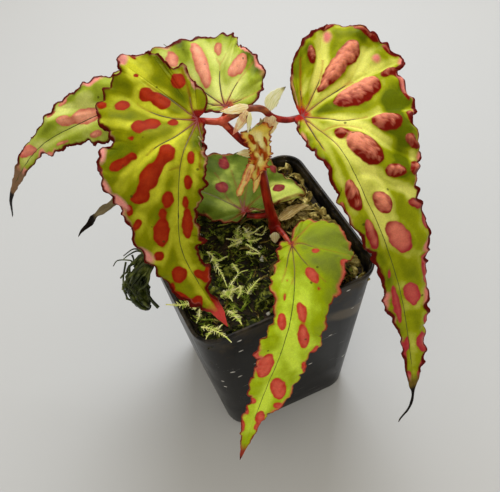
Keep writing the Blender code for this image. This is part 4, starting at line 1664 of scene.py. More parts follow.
LEAF_LEFT = Leaf(
    name="leaf_left",
    spine=[(8, 27, 158), (-9.7, 10.7, 147), (-22, -3, 145), (-29, -12, 132), (-32, -16, 116),
           (-30.5, -25, 104.5), (-26.5, -38.5, 92)],
    facing=[(-0.3, -0.45, 0.8), (-0.3, -0.5, 0.8), (-0.4, -0.6, 0.7), (-0.45, -0.8, 0.4),
            (-0.4, -0.9, 0.4), (-0.3, -0.8, 0.5), (-0.3, -0.7, 0.6)],
    left=[(0, 2.5), (10, 5.5), (18, 8.5), (27, 9.5), (37, 6.5), (46, 7), (51, 9), (56, 5), (66, 6),
          (72, 1.5), (77, 3)],
    right=[(-3, 1.5), (-9, 0), (-14, -8), (-18, -12), (-16, -16), (-20, -24), (-18, -32), (-14, -37.5),
           (-10, -34.5), (-2, -38), (9, -35.5), (16, -26.5), (21, -30.5), (32, -26), (42, -19.5),
           (57, -12.5), (68, -9), (79, -2.5)],
    curl=(0.012, 0.004), fans=(12, 92), rows=(18, 56),
    veins=[[(1, 0), (-4, -12), (-7, -22), (-13, -35)], [(1, 0), (-2, -3), (-9, -7), (-16, -12)],
           [(1, 0), (3, -9), (2, -19), (-2, -29), (-2, -37)],
           [(1, 0), (11, -5), (18, -11), (27, -18), (36, -24)], [(22, 0), (25, -5), (35, -10), (46, -17)],
           [(1, 0), (12, 5), (31, 8)], [(38, 0), (50, -5), (58, -12)], [(38, 0), (50, 3), (60, 5)]],
    spots=[(-11.4, -11.6, 3.1, 2.7, 32), (-3.5, -21.2, 3, 2.6, 74), (-2.5, -15.2, 4.2, 2.7, 67),
           (2.5, -28.2, 2.7, 2.7, 75), (10.7, -17.8, 3, 2.7, -80), (8.2, -14.2, 3, 2.9, 46),
           (5.1, -7.8, 1.9, 1.9, 40), (15.2, -19.6, 1.3, 0.9, 86), (23.5, -21.5, 3.8, 1.7, -63),
           (20.6, -17.4, 1.6, 1.2, 90), (18, -5.5, 3.2, 2.8, 51), (22.3, -7.6, 4.2, 2, -32),
           (26.6, -10.4, 4.3, 3.3, -21), (33.4, -13.2, 3.6, 2.2, -68), (30.6, -12.4, 2, 1.6, -40),
           (18.3, 3.1, 2.4, 1.2, 13), (27, 3.2, 2.4, 1.3, 2), (33.4, -3.6, 2.7, 2.1, -5),
           (34, 2.6, 2.1, 1.2, 0), (38.5, -5.3, 2, 1.3, -5), (46, -6, 5.6, 2.9, -6), (43, 3, 6, 2, 0),
           (44, -14.5, 2.2, 1.2, -40), (54, -8.5, 2, 1.4, -87), (61.5, -4.5, 3.1, 2.6, -45),
           (65, 2, 2.6, 1.6, 24), (73, -3.7, 2.4, 1.7, -39), (69.7, -6.8, 3.7, 1.3, 26),
           (66, 5.1, 3.8, 1.8, -31), (73.4, 2.8, 3, 2.1, -30), (78, 1.6, 2.6, 1, 0),
           (51.1, 8.8, 4.2, 1, -6), (64.5, -9.2, 1.8, 1.1, -37), (38.9, -17.2, 2.5, 1.3, -7),
           (-9.5, -27.5, 1, 0.7, -87), (3.4, -36, 3, 1.3, 63), (26.5, -28.2, 3, 1, 34),
           (46, -17.4, 3, 0.9, 32), (-17.4, -33.4, 3, 0.9, 60)],
    # Its saturated yellow greens and deep reds are partly painted light that shines through the blade from
    # behind.
    skin=LeafSkin("leaf_skin_with_painted_backlight", deep="#5A6600", middle="#868A00", pale="#CCCE32",
                  blotch="#8E1A02", blotch_pale="#B03A14", rim="#560A04", tooth="#E0958A", star="#7E150C",
                  tip="#C8453F", tip_from=78.0, through=0.35),
    pinks=[(-14.6, -35.6, 2.4, 2, 35), (-8.4, -38, 1.8, 1.3, 88), (53, -13.2, 2.6, 1.3, 54),
           (36.3, -20.8, 3.6, 1.6, 47), (31.5, -25.6, 2.6, 1, 24), (21.1, -28.8, 2.4, 1.1, 27)],
    # Washes: partly the leaf's own tone, partly painted light and shade.
    tone_and_light_washes=[((-5.6, -9, 6, 3.7, 4), -0.3), ((-2.9, -30.8, 3.5, 2.2, -88), -0.3),
            ((19.6, -21.6, 4.9, 2.2, -74), -0.25), ((7.7, 1.3, 7, 1.7, 19), -0.3),
            ((43.5, -4.8, 9.8, 2.1, -10), -0.1), ((-13.8, -28.4, 7.4, 3.4, 71), 0.4),
            ((11.1, -26.1, 6.7, 1.6, -87), 0.4), ((16.7, -4.8, 9.4, 1.8, -10), 0.35),
            ((-2.2, -19.4, 8, 1.4, 69), 0.3), ((21.4, -14.6, 7.9, 1.4, -49), 0.25),
            ((55.1, -12.6, 2.9, 1.3, 85), 0.3)],
    relief=Relief(pleat=1.0, groove=0.25, blister=0.1, pucker=0.05, frill=0.7), seed=1.0,
    teeth=(0.1, 0.35),
    level=0.2, bands=0.32)

LEAF_RIGHT = Leaf(
    name="leaf_right",
    spine=[(19, 20, 154), (23.5, -3, 144), (26.5, -26, 145.5), (27.5, -43, 135), (30.5, -54, 116),
           (33, -63, 88), (31.5, -74, 52), (25, -75.5, 38.5)],
    facing=[(-0.15, -0.4, 0.9), (-0.1, -0.35, 0.9), (0.1, -0.45, 0.9), (0.15, -0.7, 0.7), (0.1, -0.9, 0.4),
            (0, -1, 0.3), (-0.1, -1, 0.3), (-0.1, -1, 0.3)],
    left=[(-3, 0.5), (-13, 5), (-22, 15), (-24, 28), (-17, 39), (-4, 45), (4, 44.5), (7, 39), (19, 36.5),
          (26, 30), (39, 28), (46, 21), (63, 18.5), (78, 13), (100, 8.5), (116, 5.2), (124, 3.1),
          (129, 1.6), (132, 0.6), (138, 0.5)],
    right=[(0, -2.5), (12, -7), (30, -8.7), (48, -9), (68, -6), (86, -7), (102, -3.5), (116, -2.8),
           (124, -2.2), (129, -1.3), (132, -0.5), (138, -0.4)],
    # Washes: partly the leaf's own tone, partly painted light and shade on the slopes of its pleats.
    tone_and_light_washes=[((-16.4, 13, 7, 1.8, -54), -0.35), ((17.5, 26.8, 6.2, 3, -29), -0.65),
            ((32.6, 21.1, 5.6, 2.8, -30), -0.45), ((6.6, 10.4, 7.9, 3, 77), -0.35),
            ((13.9, 35.5, 6.3, 1.7, -43), -0.4), ((-16.9, 32.5, 5.9, 2, 49), -0.2),
            ((25.2, 22.5, 4.6, 2.1, 78), -0.5), ((20.5, -6.6, 9.5, 1.8, -10), -0.15),
            ((39.7, 16.9, 4.3, 3.4, -18), -0.4), ((-16.6, 23.1, 7.2, 1.8, -50), 0.3),
            ((14, 9.1, 8.8, 2, 27), 0.3), ((-1.5, 34.9, 4.2, 1.8, -78), 0.3),
            ((38.5, 5, 9.3, 2.3, 6), 0.35), ((52.1, 3.9, 8, 2.8, -8), 0.35),
            ((25.9, 2.8, 6.8, 2.2, 17), 0.35), ((51.5, 16.2, 3, 2.2, -22), 0.35),
            ((-8.9, 11.7, 7.8, 1.1, -68), 0.3), ((-5, 33, 6.7, 2.9, -71), 0.2),
            ((84, -3, 14, 3, -5), -0.15), ((62, -4, 14, 4, 0), -0.15), ((14.5, 31.5, 6.3, 3.6, -50), -0.3),
            ((-10.7, 39, 4.8, 2.8, 34), -0.25), ((-9.9, 9.6, 9.5, 2.4, -36), -0.2),
            ((27.7, 26.2, 4.3, 2.4, -42), -0.3), ((-19.9, 32.9, 3.6, 2, -39), 0.2),
            ((50, 16.6, 5.9, 1.8, 47), 0.2)],
    # Flushes: paler red, partly painted light on the blisters' upper sides.
    flushes=[((-7, 22, 12, 4, -66), 0.3), ((4, 23, 8, 3.6, 80), 0.3), ((25, 6, 4, 2.6, 25), 0.2),
             ((61, 5, 6, 3.4, 0), 0.4), ((85, 4, 5, 2.5, 0), 0.25), ((47, 4, 4, 3, 0), 0.3)],
    curl=(0.004, 0.012), fans=(123, 15), rows=(60, 16), columns=200, rim=(0.9, 0.8), patches=3.0,
    redness=0.05,
    # Blotches painted paler on their side towards the stalk, as painted light from behind.
    shaded=0.24, teeth=(0.3, 0.5), raised_to=52.0,
    veins=[[(1, 0), (-5, 4), (-11, 8), (-18, 13)], [(1, 0), (-3, 7), (-10, 17), (-22, 25)],
           [(1, 0), (0, 9), (-1, 23), (-7, 34), (-10, 42)], [(0, 16), (0, 27), (1, 37), (2, 45)],
           [(1, 0), (9, 6), (13, 9), (16, 15), (17, 24), (20, 36)],
           [(13, 0), (14, 6), (21, 12), (29, 17), (39, 27)], [(35, 0), (36, 6), (43, 11), (52, 20)],
           [(2, 0), (21, -5), (33, -7), (44, -8)], [(60, 0), (68, 6), (76, 13)],
           [(80, 0), (90, 5), (96, 9)]],
    spots=[(-16.6, 16.6, 3.6, 1.4, -29), (-9.7, 28.8, 5.2, 3.4, -63), (-7.2, 20.8, 7.6, 3.1, -68),
           (-4.5, 13.4, 3.4, 1.3, -69), (6.4, 20.2, 9.4, 5.1, -88), (6.2, 26.2, 4, 3.9, -29),
           (5.2, 35.6, 3.9, 1.9, -74), (22.1, 20.6, 5.2, 3.7, 70), (18.9, 4, 2.6, 2.1, -32),
           (27.7, 7.6, 7, 4.8, 25), (39.1, 14.1, 4, 2.6, 59), (11, 37.2, 5.6, 1.5, -24),
           (23.2, 30.8, 3.2, 1.6, -32), (31.3, 26, 3.4, 1.7, 40), (41.8, 22, 3.4, 2.5, -51),
           (55, 16.4, 4, 1.8, 50), (-3.4, 43.4, 3.4, 1.5, 21), (-13, 39.4, 5.2, 1.4, 30),
           (-23, 28.5, 3, 1.2, 81), (40.2, -4.2, 4.9, 2.3, -5), (47, 4.3, 4.3, 2.7, 11),
           (61.8, 5.2, 7.7, 3.6, 15), (54.9, -4.2, 6, 2, 1), (85.8, 4.1, 5.4, 2.8, 8),
           (86.7, -2.7, 9, 1.4, 1), (108.6, 4.9, 4.4, 2.4, 4), (107, -0.8, 2.8, 1, -2),
           (72, -2.8, 1.4, 0.6, -12), (43.5, -9, 2.8, 1, -5), (63.3, -7.4, 4, 1.5, 7),
           (88.4, -7.2, 3.2, 1.2, 17), (110.7, -2.8, 5.2, 1.4, 4), (122.4, -1.7, 2.4, 1.1, 5),
           (62.5, 17.4, 2.6, 2.2, -21), (78.7, 12.2, 6.4, 2.2, -15), (99.7, 8.2, 2.4, 1.5, -2),
           (119, 4.2, 2.4, 1.2, -6), (125.4, 2.8, 3.3, 1.2, 0)],
    pinks=[(90.2, 9.6, 3.7, 1.4, -10), (70.5, 14.8, 2.2, 2, -20), (2.6, 45, 3.4, 1.5, -43),
           (39.6, 27.4, 4, 1.7, -19), (20.6, 35, 2.4, 0.9, -36), (-19.7, 26.3, 1.9, 1, -29),
           (-3.2, 36.6, 1.2, 0.9, -75)], level=0.21,
    skin=LeafSkin("leaf_skin_blistered", deep="#5E6A00", middle="#9AA20C", pale="#E2E46E",
                  blotch="#7A1406", blotch_pale="#F09878", rim="#5C0C06", tooth="#E0867A", star="#AC2014",
                  tip="#6E5A1E", tip_from=124.5, burnt_from=129.0, rosy_from=50.0, through=0.25,
                  gloss=0.42, shine=0.06),
    relief=Relief(pleat=1.9, groove=0.3, blister=1.2, pucker=0.24, frill=0.5), tooth=0.6, tooth_length=8.0,
    ripple=0.18, seed=2.0)

LEAF_FRONT = Leaf(
    name="leaf_front",
    spine=[(21, 5, 88), (12, -13.5, 91), (5, -30, 94.5), (-3, -43, 90.5), (-11, -48.5, 77.5),
           (-22, -50, 53), (-36, -54.5, 25)],
    facing=[(0, 0, 1), (0, -0.1, 1), (0, -0.25, 1), (-0.1, -0.8, 0.7), (-0.1, -1, 0.3), (-0.2, -1, 0.2),
            (-0.2, -1, 0.2)],
    left=[(-3, 0), (-9, 1), (-15, 6), (-14, 15), (-6, 21.5), (5, 24), (15, 19), (24, 17.5), (29, 14),
          (41, 14), (48, 17), (53, 11), (59, 13), (68, 12.5), (80, 8.5), (85, 5), (97, 2)],
    right=[(-1, -2.5), (0, -4.5), (12, -7), (25, -9), (37, -6), (51, -10.5), (56, -7.5), (70, -7.5),
           (77, -4.5), (90, -5), (97, -3)],
    curl=(0.01, 0.01), fans=(75, 12), rows=(42, 20),
    veins=[[(1, 0), (0, 4), (3, 10), (7, 22)], [(1, 0), (-5, 3), (-13, 8)],
           [(1, 0), (12, 4), (20, 11), (23, 17)], [(1, 0), (9, -2), (20, -4), (30, -7)],
           [(25, 0), (28, 5), (31, 13)], [(42, 0), (44, 6), (46, 14)], [(19, 0), (30, -3), (38, -6)],
           [(51, 0), (54, 7), (59, 12)], [(51, 0), (53, -4), (55, -8)]],
    spots=[(6, 8.7, 2.1, 1.6, -18), (18.5, 6.5, 3.9, 2.5, 22), (24, 9, 0.8, 0.6, -71),
           (22, -2.8, 0.5, 0.4, -5), (29, -3.4, 1.3, 0.6, 4), (38, -3, 3.1, 1.6, 13),
           (33.5, 3.6, 3.8, 1.7, 23), (43, 6.8, 5.5, 2.4, 25), (12.5, 20, 2.5, 1.9, -79),
           (57.5, -4.3, 6.5, 3.1, 5), (69.5, 4.6, 6, 3.1, 25), (78.5, 7, 2.3, 1.7, 51),
           (50.5, 14, 2.8, 1.9, -31), (58, 11.7, 3.5, 1, 21), (77, -3.8, 1.9, 1.5, 37),
           (86.5, 2.2, 4.5, 1.9, 13), (91.5, 2.4, 1.7, 1.2, 31), (83, -4.3, 2.2, 0.9, 18),
           (90.5, -4, 2.7, 0.9, 17), (52, -9.2, 1.9, 0.7, 18)],
    skin=LeafSkin("leaf_skin_lime", deep="#84942E", middle="#A8BE0A", pale="#DCF84C", blotch="#C83222",
                  blotch_pale="#F47C64", rim="#8C2C22", tooth="#DC6A5A", star="#C05038", tip="#A03C2C",
                  tip_from=102.0, burnt="#4A1512", burnt_from=107.0, through=0.3, shine=0.08),
    relief=Relief(pleat=0.7, groove=0.25, blister=0.1, pucker=0.05, frill=0.5), rim=(0.2, 0.35),
    patches=1.2,
    # Washes: the last one is painted shade over the upper lobe; the lighter ones are partly own tone, partly
    # painted light.
    tone_and_light_washes=[((47.2, 2.6, 12.8, 2.3, 24), 0.35), ((25, 4.4, 9.5, 1.9, -7), 0.2),
            ((76.8, 1.4, 10.3, 2.2, 2), 0.3), ((3, 15, 26, 14, 0), -0.34)],
    tooth=0.6, tooth_length=7.0, star=1.7, rib="#6E7C14", level=0.39, bands=0.15, seed=3.0)

LEAF_BACK = Leaf(
    name="leaf_back",
    spine=[(26, 1.5, 148), (1.5, 10, 148), (-20.5, 31.5, 145.5), (-44.5, 41.5, 137.5), (-64, 50.5, 125),
           (-79, 58, 102.5), (-83, 63.5, 84)],
    facing=[(0, -0.3, 1), (0, -0.4, 1), (-0.1, -0.5, 1), (-0.3, -0.5, 0.9), (-0.6, -0.4, 0.6),
            (-0.7, -0.6, 0.3), (-0.7, -0.7, 0.2)],
    left=[(0, 2.5), (12, 4), (22, 8), (38, 10.5), (54, 11), (62, 7), (76, 6), (82, 3), (92, 2.6),
          (100, 2.2), (107, 1.6), (112, 1.1)],
    right=[(-3, 1), (-9, 0), (-13.5, -6), (-15.5, -15), (-10, -24), (0, -28.5), (11, -31.5), (22, -28),
           (30, -20), (44, -13), (50, -14), (65, -12.5), (76, -7), (90, -5), (98, -3), (105, -2),
           (112, -0.8)],
    # Washes: partly the leaf's own tone, partly painted light and shade.
    tone_and_light_washes=[((-10.6, -18, 6.2, 3.9, -68), -0.45), ((23.5, -20.1, 6, 2.3, -87), -0.35),
            ((61.7, -12.2, 4.9, 2.5, 2), -0.3), ((7.2, -27.1, 5.1, 2.8, -37), -0.2),
            ((72, -2.2, 6.1, 2.5, 2), -0.2), ((11.2, -3.3, 4.4, 3, -59), -0.1),
            ((20.9, -21.7, 5.3, 1.2, -64), 0.3), ((-1, -6.6, 7.1, 2.6, 15), 0.3),
            ((3.9, -21.9, 6.2, 3.2, 86), 0.25), ((55.7, -8.5, 4.5, 1.6, -15), 0.3),
            ((67.6, -7.7, 5.8, 1.6, 2), 0.3)],
    curl=(0.012, 0.004), fans=(13, 78), rows=(20, 46), columns=170, raised_to=-40.0, redness=0.3,
    level=0.35,
    bands=0.75,
    veins=[[(1, 0), (6, -10), (9, -17), (12, -20), (20, -29)], [(9, -17), (8, -22), (9, -31)],
           [(1, 0), (-3, -9), (-13, -18)], [(1, 0), (16, -8), (25, -17), (29, -22)],
           [(1, 0), (-4, -2), (-12, -5)], [(20, 0), (32, -6), (42, -13)], [(48, 0), (60, -6), (70, -10)]],
    spots=[(66, -3.2, 3.2, 1.9, -26), (57, -1.5, 6, 3.2, -15), (88, -2.4, 4.9, 2.2, -25),
           (55, 6.8, 2.9, 1.2, -11), (70, 4, 2.7, 0.6, -4), (78, 5, 2.4, 1, -25), (71, -8, 1.7, 0.8, 20),
           (65.5, -10.5, 2.3, 0.8, 8), (16, -15.6, 10.4, 2.3, -55), (12, -10.4, 4.5, 1.7, -56),
           (-3.6, -16.1, 6.5, 3.3, 34), (12.8, -24, 3.4, 1.5, -55), (25.8, -15.5, 3.6, 1.6, -70)],
    # Its pale greens and pale salmon blotches are partly a painted sheen of the light from behind.
    skin=LeafSkin("leaf_skin_pale", deep="#566400", middle="#9EAE2E", pale="#D6DE7A", blotch="#AE4430",
                  blotch_pale="#FFB894", rim="#581008", tooth="#F0988A", star="#B4583A", tip="#86684C",
                  tip_from=97.0, burnt_from=112.0, rosy="#D84E58", rosy_from=78.0, through=0.2, gloss=0.42,
                  shine=0.08),
    relief=Relief(pleat=1.9, groove=0.2, blister=0.5, pucker=0.15, frill=0.5), tooth=0.6, star=2.0,
    seed=4.0)

LEAF_LOW_BACK = Leaf(
    name="leaf_low_back",
    spine=[(14, -8, 92), (2, 7, 95), (-12, 25.5, 98), (-35, 39, 95.5), (-46, 41, 91.4), (-51.6, 41.4, 89),
           (-55, 42.6, 84.6), (-59, 41.8, 83), (-61, 42.6, 79.6)],
    facing=[(0, 0, 1), (0, 0, 1), (0, 0, 1), (-0.2, -0.1, 1), (-0.4, -0.5, 0.8), (-0.2, -0.2, 1),
            (-0.7, -0.6, 0.3), (-0.2, -0.4, 1), (-0.8, -0.4, 0.4)],
    left=[(0, 2.5), (0, 6.5), (6, 9.5), (17, 10), (35, 6.5), (46, 3.2), (51, 1.6), (55, 2.4), (60, 1.2),
          (64, 1.7), (68, 1.0), (71, 1.6)],
    right=[(-1, -2.5), (-7, -4), (-9, -11), (-14, -18), (-16.5, -21), (-8, -27), (2, -30), (16, -33),
           (22, -25), (30, -16), (44, -6), (50, -2.8), (54, -3.4), (60, -1.5), (64, -1.9), (68, -0.9),
           (71, -1.4)],
    curl=(0.012, 0.008), fans=(24, 72), rows=(20, 48), columns=120,
    veins=[[(1, 0), (9, -8), (16, -17), (19, -28)], [(1, 0), (10, -2), (19, -11), (26, -18)],
           [(1, 0), (6, -10), (9, -19), (8, -29)], [(1, 0), (-1, -10), (-3, -20), (-9, -26)],
           [(1, 0), (2, 4), (4, 9)]],
    spots=[(20, -22, 3.3, 0.8, -76), (19, -18, 2.9, 1.6, -78), (14.5, -5.7, 3, 2.5, -79),
           (10.3, -16.8, 3.3, 1.2, -70), (-6, -18.5, 3.1, 2.6, -88), (2.7, -27.5, 2.7, 2, -35)],
    # Its greens are darkened as painted shade.
    skin=LeafSkin("leaf_skin_shaded", deep="#364800", middle="#627420", pale="#C2D060", blotch="#6A181E",
                  blotch_pale="#A0443E", rim="#4E1408", tooth="#A0503C", star="#7A2418", tip="#6E6248",
                  tip_from=48.0, burnt_from=69.0, through=0.2),
    relief=Relief(pleat=1.0, groove=0.2, blister=0.4, pucker=0.1, frill=0.4), rim=(0.25, 0.4), patches=1.0,
    # Washes: the third one is painted light on the part right of the stem; the others are partly own tone,
    # partly painted shade.
    tone_and_light_washes=[((21.4, -17.1, 6.6, 2.9, -79), -0.25), ((19.4, -28, 6.4, 2, -81), -0.2),
            ((-9.8, -16.6, 6.8, 6.8, 19), 0.6), ((8.8, 1.5, 5.6, 3, 35), 0.15)],
    tooth=0.4, star=2.4, rib="#44501A", ribbed=0.45, level=0.25, bands=0.1, seed=5.0)

# The young leaf hangs from the arch of the stem, with long orange spots and a frilled edge. It ends in two
# tails.
YOUNG_SKIN = LeafSkin("young_leaf_skin", deep="#B8A22A", middle="#E8D058", pale="#FFF4AE",
                      blotch="#9C3A08", blotch_pale="#D87226", rim="#8A2E12", tooth="#E8603C",
                      star="#E8D068", tip="#EED8A4", tip_from=31.0, through=0.3)
TAIL_SKIN = LeafSkin("young_leaf_tail_skin", deep="#DDBE4E", middle="#F8E07C", pale="#FFF8C4",
                     blotch="#D06A30", blotch_pale="#F8A468", rim="#D0743E", tooth="#FF9E7C",
                     star="#F0D8A0", tip="#FFF0D8", tip_from=31.0, through=0.3)
YOUNG_RELIEF = Relief(pleat=0.5, groove=0.15, blister=0.1, pucker=0.3, frill=1.0)
YOUNG_LEAF = Leaf(
    name="young_leaf",
    spine=[(5.2, -0.8, 151), (5.6, -1.8, 144.6), (6.2, -2.4, 138), (5.6, -3.2, 131), (4, -3.6, 125.5),
           (3, -4, 121.5)],
    facing=[(0.2, -1, 0), (0.2, -1, 0.1), (-0.2, -1, 0.1), (-0.4, -1, 0.1), (-0.2, -1, 0.2), (0, -1, 0.3)],
    left=[(-0.6, 2.2), (-0.8, 5), (3, 6.2), (8, 5.2), (13, 4.6), (17, 3.8), (21, 1.6)],
    right=[(-0.5, -2), (-0.4, -4.8), (4, -4.2), (10, -3), (15, -3.2), (19, -3.4), (22, -1.6)],
    curl=(0.07, 0.09), fans=(20, 20), rows=(22, 20), columns=110,
    spots=[(4, -1.6, 3, 0.8, 12), (9.5, 0.4, 3, 0.8, 10), (16, -0.6, 2.6, 0.8, -5), (7, 3.2, 2.2, 0.6, 12),
           (13, 2.6, 2, 0.6, 4), (12.5, -2, 1.8, 0.5, -6), (19, 0.8, 1.6, 0.5, 0)],
    skin=YOUNG_SKIN, relief=YOUNG_RELIEF, thickness=0.35, tooth=0.75, tooth_length=1.7, ripple=0.45,
    wave=0.9,
    wave_length=6.5, rim=(0.1, 0.3), patches=0.9, teeth=(1.3, 0.5), star=0.4, seed=6.0, slot="young_blade")
TAILS = [
    Leaf(name="young_leaf_tail_1",
         spine=[(4.8, -2.4, 132), (3, -3, 129.4), (0, -4.6, 126.1), (-2.9, -5.8, 123), (-5.4, -6.6, 120.3)],
         facing=[(-0.2, -1, 0.2)] * 5, left=[(0, 1.4), (3, 1.7), (6, 1.4), (9, 1.1), (11.5, 1.3)],
         right=[(0, -1.4), (3, -1.6), (6, -1.4), (9, -1.2), (11.5, -1.1)], curl=(0.1, 0.1), fans=(9, 9),
         rows=(10, 10), columns=60, spots=[(4, 0.2, 2.4, 0.7, 0)], skin=TAIL_SKIN, relief=YOUNG_RELIEF,
         thickness=0.35, tooth=0.4, tooth_length=2.2, ripple=0.5, wave=0.3, rim=(0.2, 0.3), patches=0.5,
         star=0.4, seed=7.0, slot="young_blade"),
    Leaf(name="young_leaf_tail_2",
         spine=[(6, -2.3, 130), (5.5, -2.8, 126.9), (4.4, -3.5, 122.8), (3, -4.6, 119.5),
                (1.6, -5.4, 117.4)], facing=[(-0.1, -1, 0.2)] * 5,
         left=[(0, 2), (3, 1.8), (6, 1.2), (9, 0.8)], right=[(0, -2), (3, -1.9), (6, -1.3), (9, -0.8)],
         curl=(0.1, 0.1), fans=(8, 8), rows=(10, 10), columns=50, skin=TAIL_SKIN, relief=YOUNG_RELIEF,
         thickness=0.35, tooth=0.4, tooth_length=2.0, ripple=0.5, wave=0.3, rim=(0.2, 0.3), patches=0.5,
         star=0.4, seed=8.0, slot="young_blade")]

CRUMPLED = Relief(pleat=0.3, groove=0.1, blister=0.0, pucker=0.25, frill=0.35)
CREAM = Papery("stipule_cream", pale="#FFF4CC", middle="#F6E0A4", dark="#D8A45C", tip="#F0C8A0")
PINK_ENDED = Papery("stipule_pink_ended", pale="#FFEEC8", middle="#F8D8A2", dark="#DC9C62", tip="#E48A74",
                    tip_from=8.0, stained=0.45)
GREENISH = Papery("stipule_greenish", pale="#FBFADA", middle="#EFEFBC", dark="#CBCD84", tip="#2A2018",
                  tip_from=9.4, through=0.5)
GREENISH_CREAM = Papery("stipule_pale_green", pale="#FBF8D0", middle="#F0ECA8", dark="#D2CE7A",
                        tip="#E8D8A0")
TAN = Papery("stipule_tan", pale="#D9C58E", middle="#B79C5C", dark="#8E7640", tip="#6E5526")
DEAD_LEAF = Papery("dead_leaf", pale="#A38F55", middle="#71602C", dark="#3A2E14", tip="#2A2010",
                   roughness=0.7, through=0.15)
SHRIVELLED = Relief(pleat=0.8, groove=0.2, blister=0.0, pucker=0.6, frill=0.8)

# Papery scales at the joints, and dead leaves on the medium at the back right.
SCALES = [
    bract("stipule_1",
          [(12.4, 0.6, 145.6), (13.2, 1.2, 147.4), (15.4, 2.2, 150.4), (18, 3, 151.8), (21.4, 3.2, 153.2)],
          (-0.3, -0.9, 0.4), 2.5, GREENISH, CRUMPLED),
    bract("stipule_2", [(13.2, 0.8, 148), (13, 0.2, 145.6), (12.4, -0.4, 142), (12, -0.8, 137.6)],
          (-0.3, -0.9, 0.2), 3.4, PINK_ENDED, CRUMPLED),
    bract("stipule_3",
          [(8.6, 2.2, 150.8), (6.2, 2.4, 151.4), (2.4, 3, 151.4), (-0.6, 3.6, 151.4), (-3.6, 4.6, 151.8)],
          (0, -0.6, 0.8), 1.7, CREAM, CRUMPLED),
    bract("stipule_4",
          [(6, 1.6, 151.2), (5, 0.6, 151.2), (3.2, 0.2, 149), (0.6, -0.2, 146.4), (-1.6, 0.2, 143.4)],
          (-0.3, -0.9, 0.3), 1.7, PINK_ENDED, CRUMPLED),
    bract("petiole_bract",
          [(6.2, 0.2, 152), (5.4, -0.8, 151.4), (4.6, -1.8, 149.6), (3.6, -2.8, 147), (2.8, -3.2, 144.8)],
          (-0.1, -0.9, 0.3), 0.9, GREENISH_CREAM, CRUMPLED),
    bract("stipule_5", [(7, 1.8, 128.6), (5.5, 1.6, 129.6), (2.4, 1.6, 131.6), (-0.7, 1.6, 132.7)],
          (0, -0.7, 0.7), 1.5, CREAM, CRUMPLED),
    bract("stipule_6", [(10.4, -0.8, 89), (9.9, -2.1, 87.4), (9.3, -3.1, 85.4), (9, -3.6, 82.8)],
          (-0.4, -0.9, 0.4), 2.0, CREAM, CRUMPLED),
    bract("stipule_7", [(12, 2, 87), (14.4, 3, 87.5), (22.6, 5, 88), (29, 5.1, 86.6)], (0, -0.3, 1), 2.4,
          TAN, CRUMPLED),
    bract("litter_leaf_1", [(15, 12, 80.8), (18, 11, 80.6), (25, 8, 81.6), (33, 8, 81.2)], (0, -0.2, 1),
          4.0, DEAD_LEAF, SHRIVELLED, "dry_litter"),
    bract("litter_leaf_2", [(19, 2, 80.4), (21, -1, 80.1), (26, -6, 80.9), (31, -12, 80.2)], (-0.1, 0, 1),
          4.0, DEAD_LEAF, SHRIVELLED, "dry_litter"),
    bract("litter_leaf_3", [(33, -14, 80), (32, -17, 79.7), (29, -22, 80.4), (28, -29, 79.6)],
          (-0.1, 0, 1), 3.0, DEAD_LEAF, SHRIVELLED, "dry_litter")]

LOW_JOINT = (11.5, 1.6, 87.0)
MID_JOINT = (8.0, 3.4, 129.0)
TOP_JOINT = (-2.5, 6.9, 145.0)
PLANT_STEM = Stem(
    lines=[([(*STEM_FOOT, 64), LOW_JOINT, (10.4, 2.5, 97), (9.2, 2.9, 114), MID_JOINT, (3.5, 4.8, 134.5),
             TOP_JOINT], [2.2, 2.2, 2.0, 1.9, 1.7, 1.5, 1.4]),
           ([TOP_JOINT, (0.9, 5.5, 147), (6.2, 3.6, 149.3), (11.1, 1.9, 148.4), (14.4, 0.8, 144),
             (19, -1, 142), (23.8, -2.2, 142.1)], [1.4, 1.3, 1.3, 1.3, 1.3, 1.2, 1.1]),
           ([TOP_JOINT, (-5.5, 8.6, 144.9), (-9.2, 11.4, 145)], [1.4, 1.3, 1.2]),
           ([TOP_JOINT, (-1, 8.6, 145), (1.5, 10.6, 146)], [1.2, 1.2, 1.1]),
           ([LOW_JOINT, (12, -4.5, 88.5), (12, -13, 89)], [1.5, 1.1, 1.0]),
           ([(10.5, 2.4, 93.5), (6, 5.4, 92), (2.2, 7.2, 92.9)], [1.3, 1.2, 1.1]),
           ([(5.5, 3.8, 149), (4.8, 0.5, 149.5), (4.1, -1.6, 147.5), (3.9, -2, 145.3)],
            [0.8, 0.7, 0.7, 0.7])],
    joints=[(LOW_JOINT, 2.2), (MID_JOINT, 1.8), (TOP_JOINT, 1.5)])

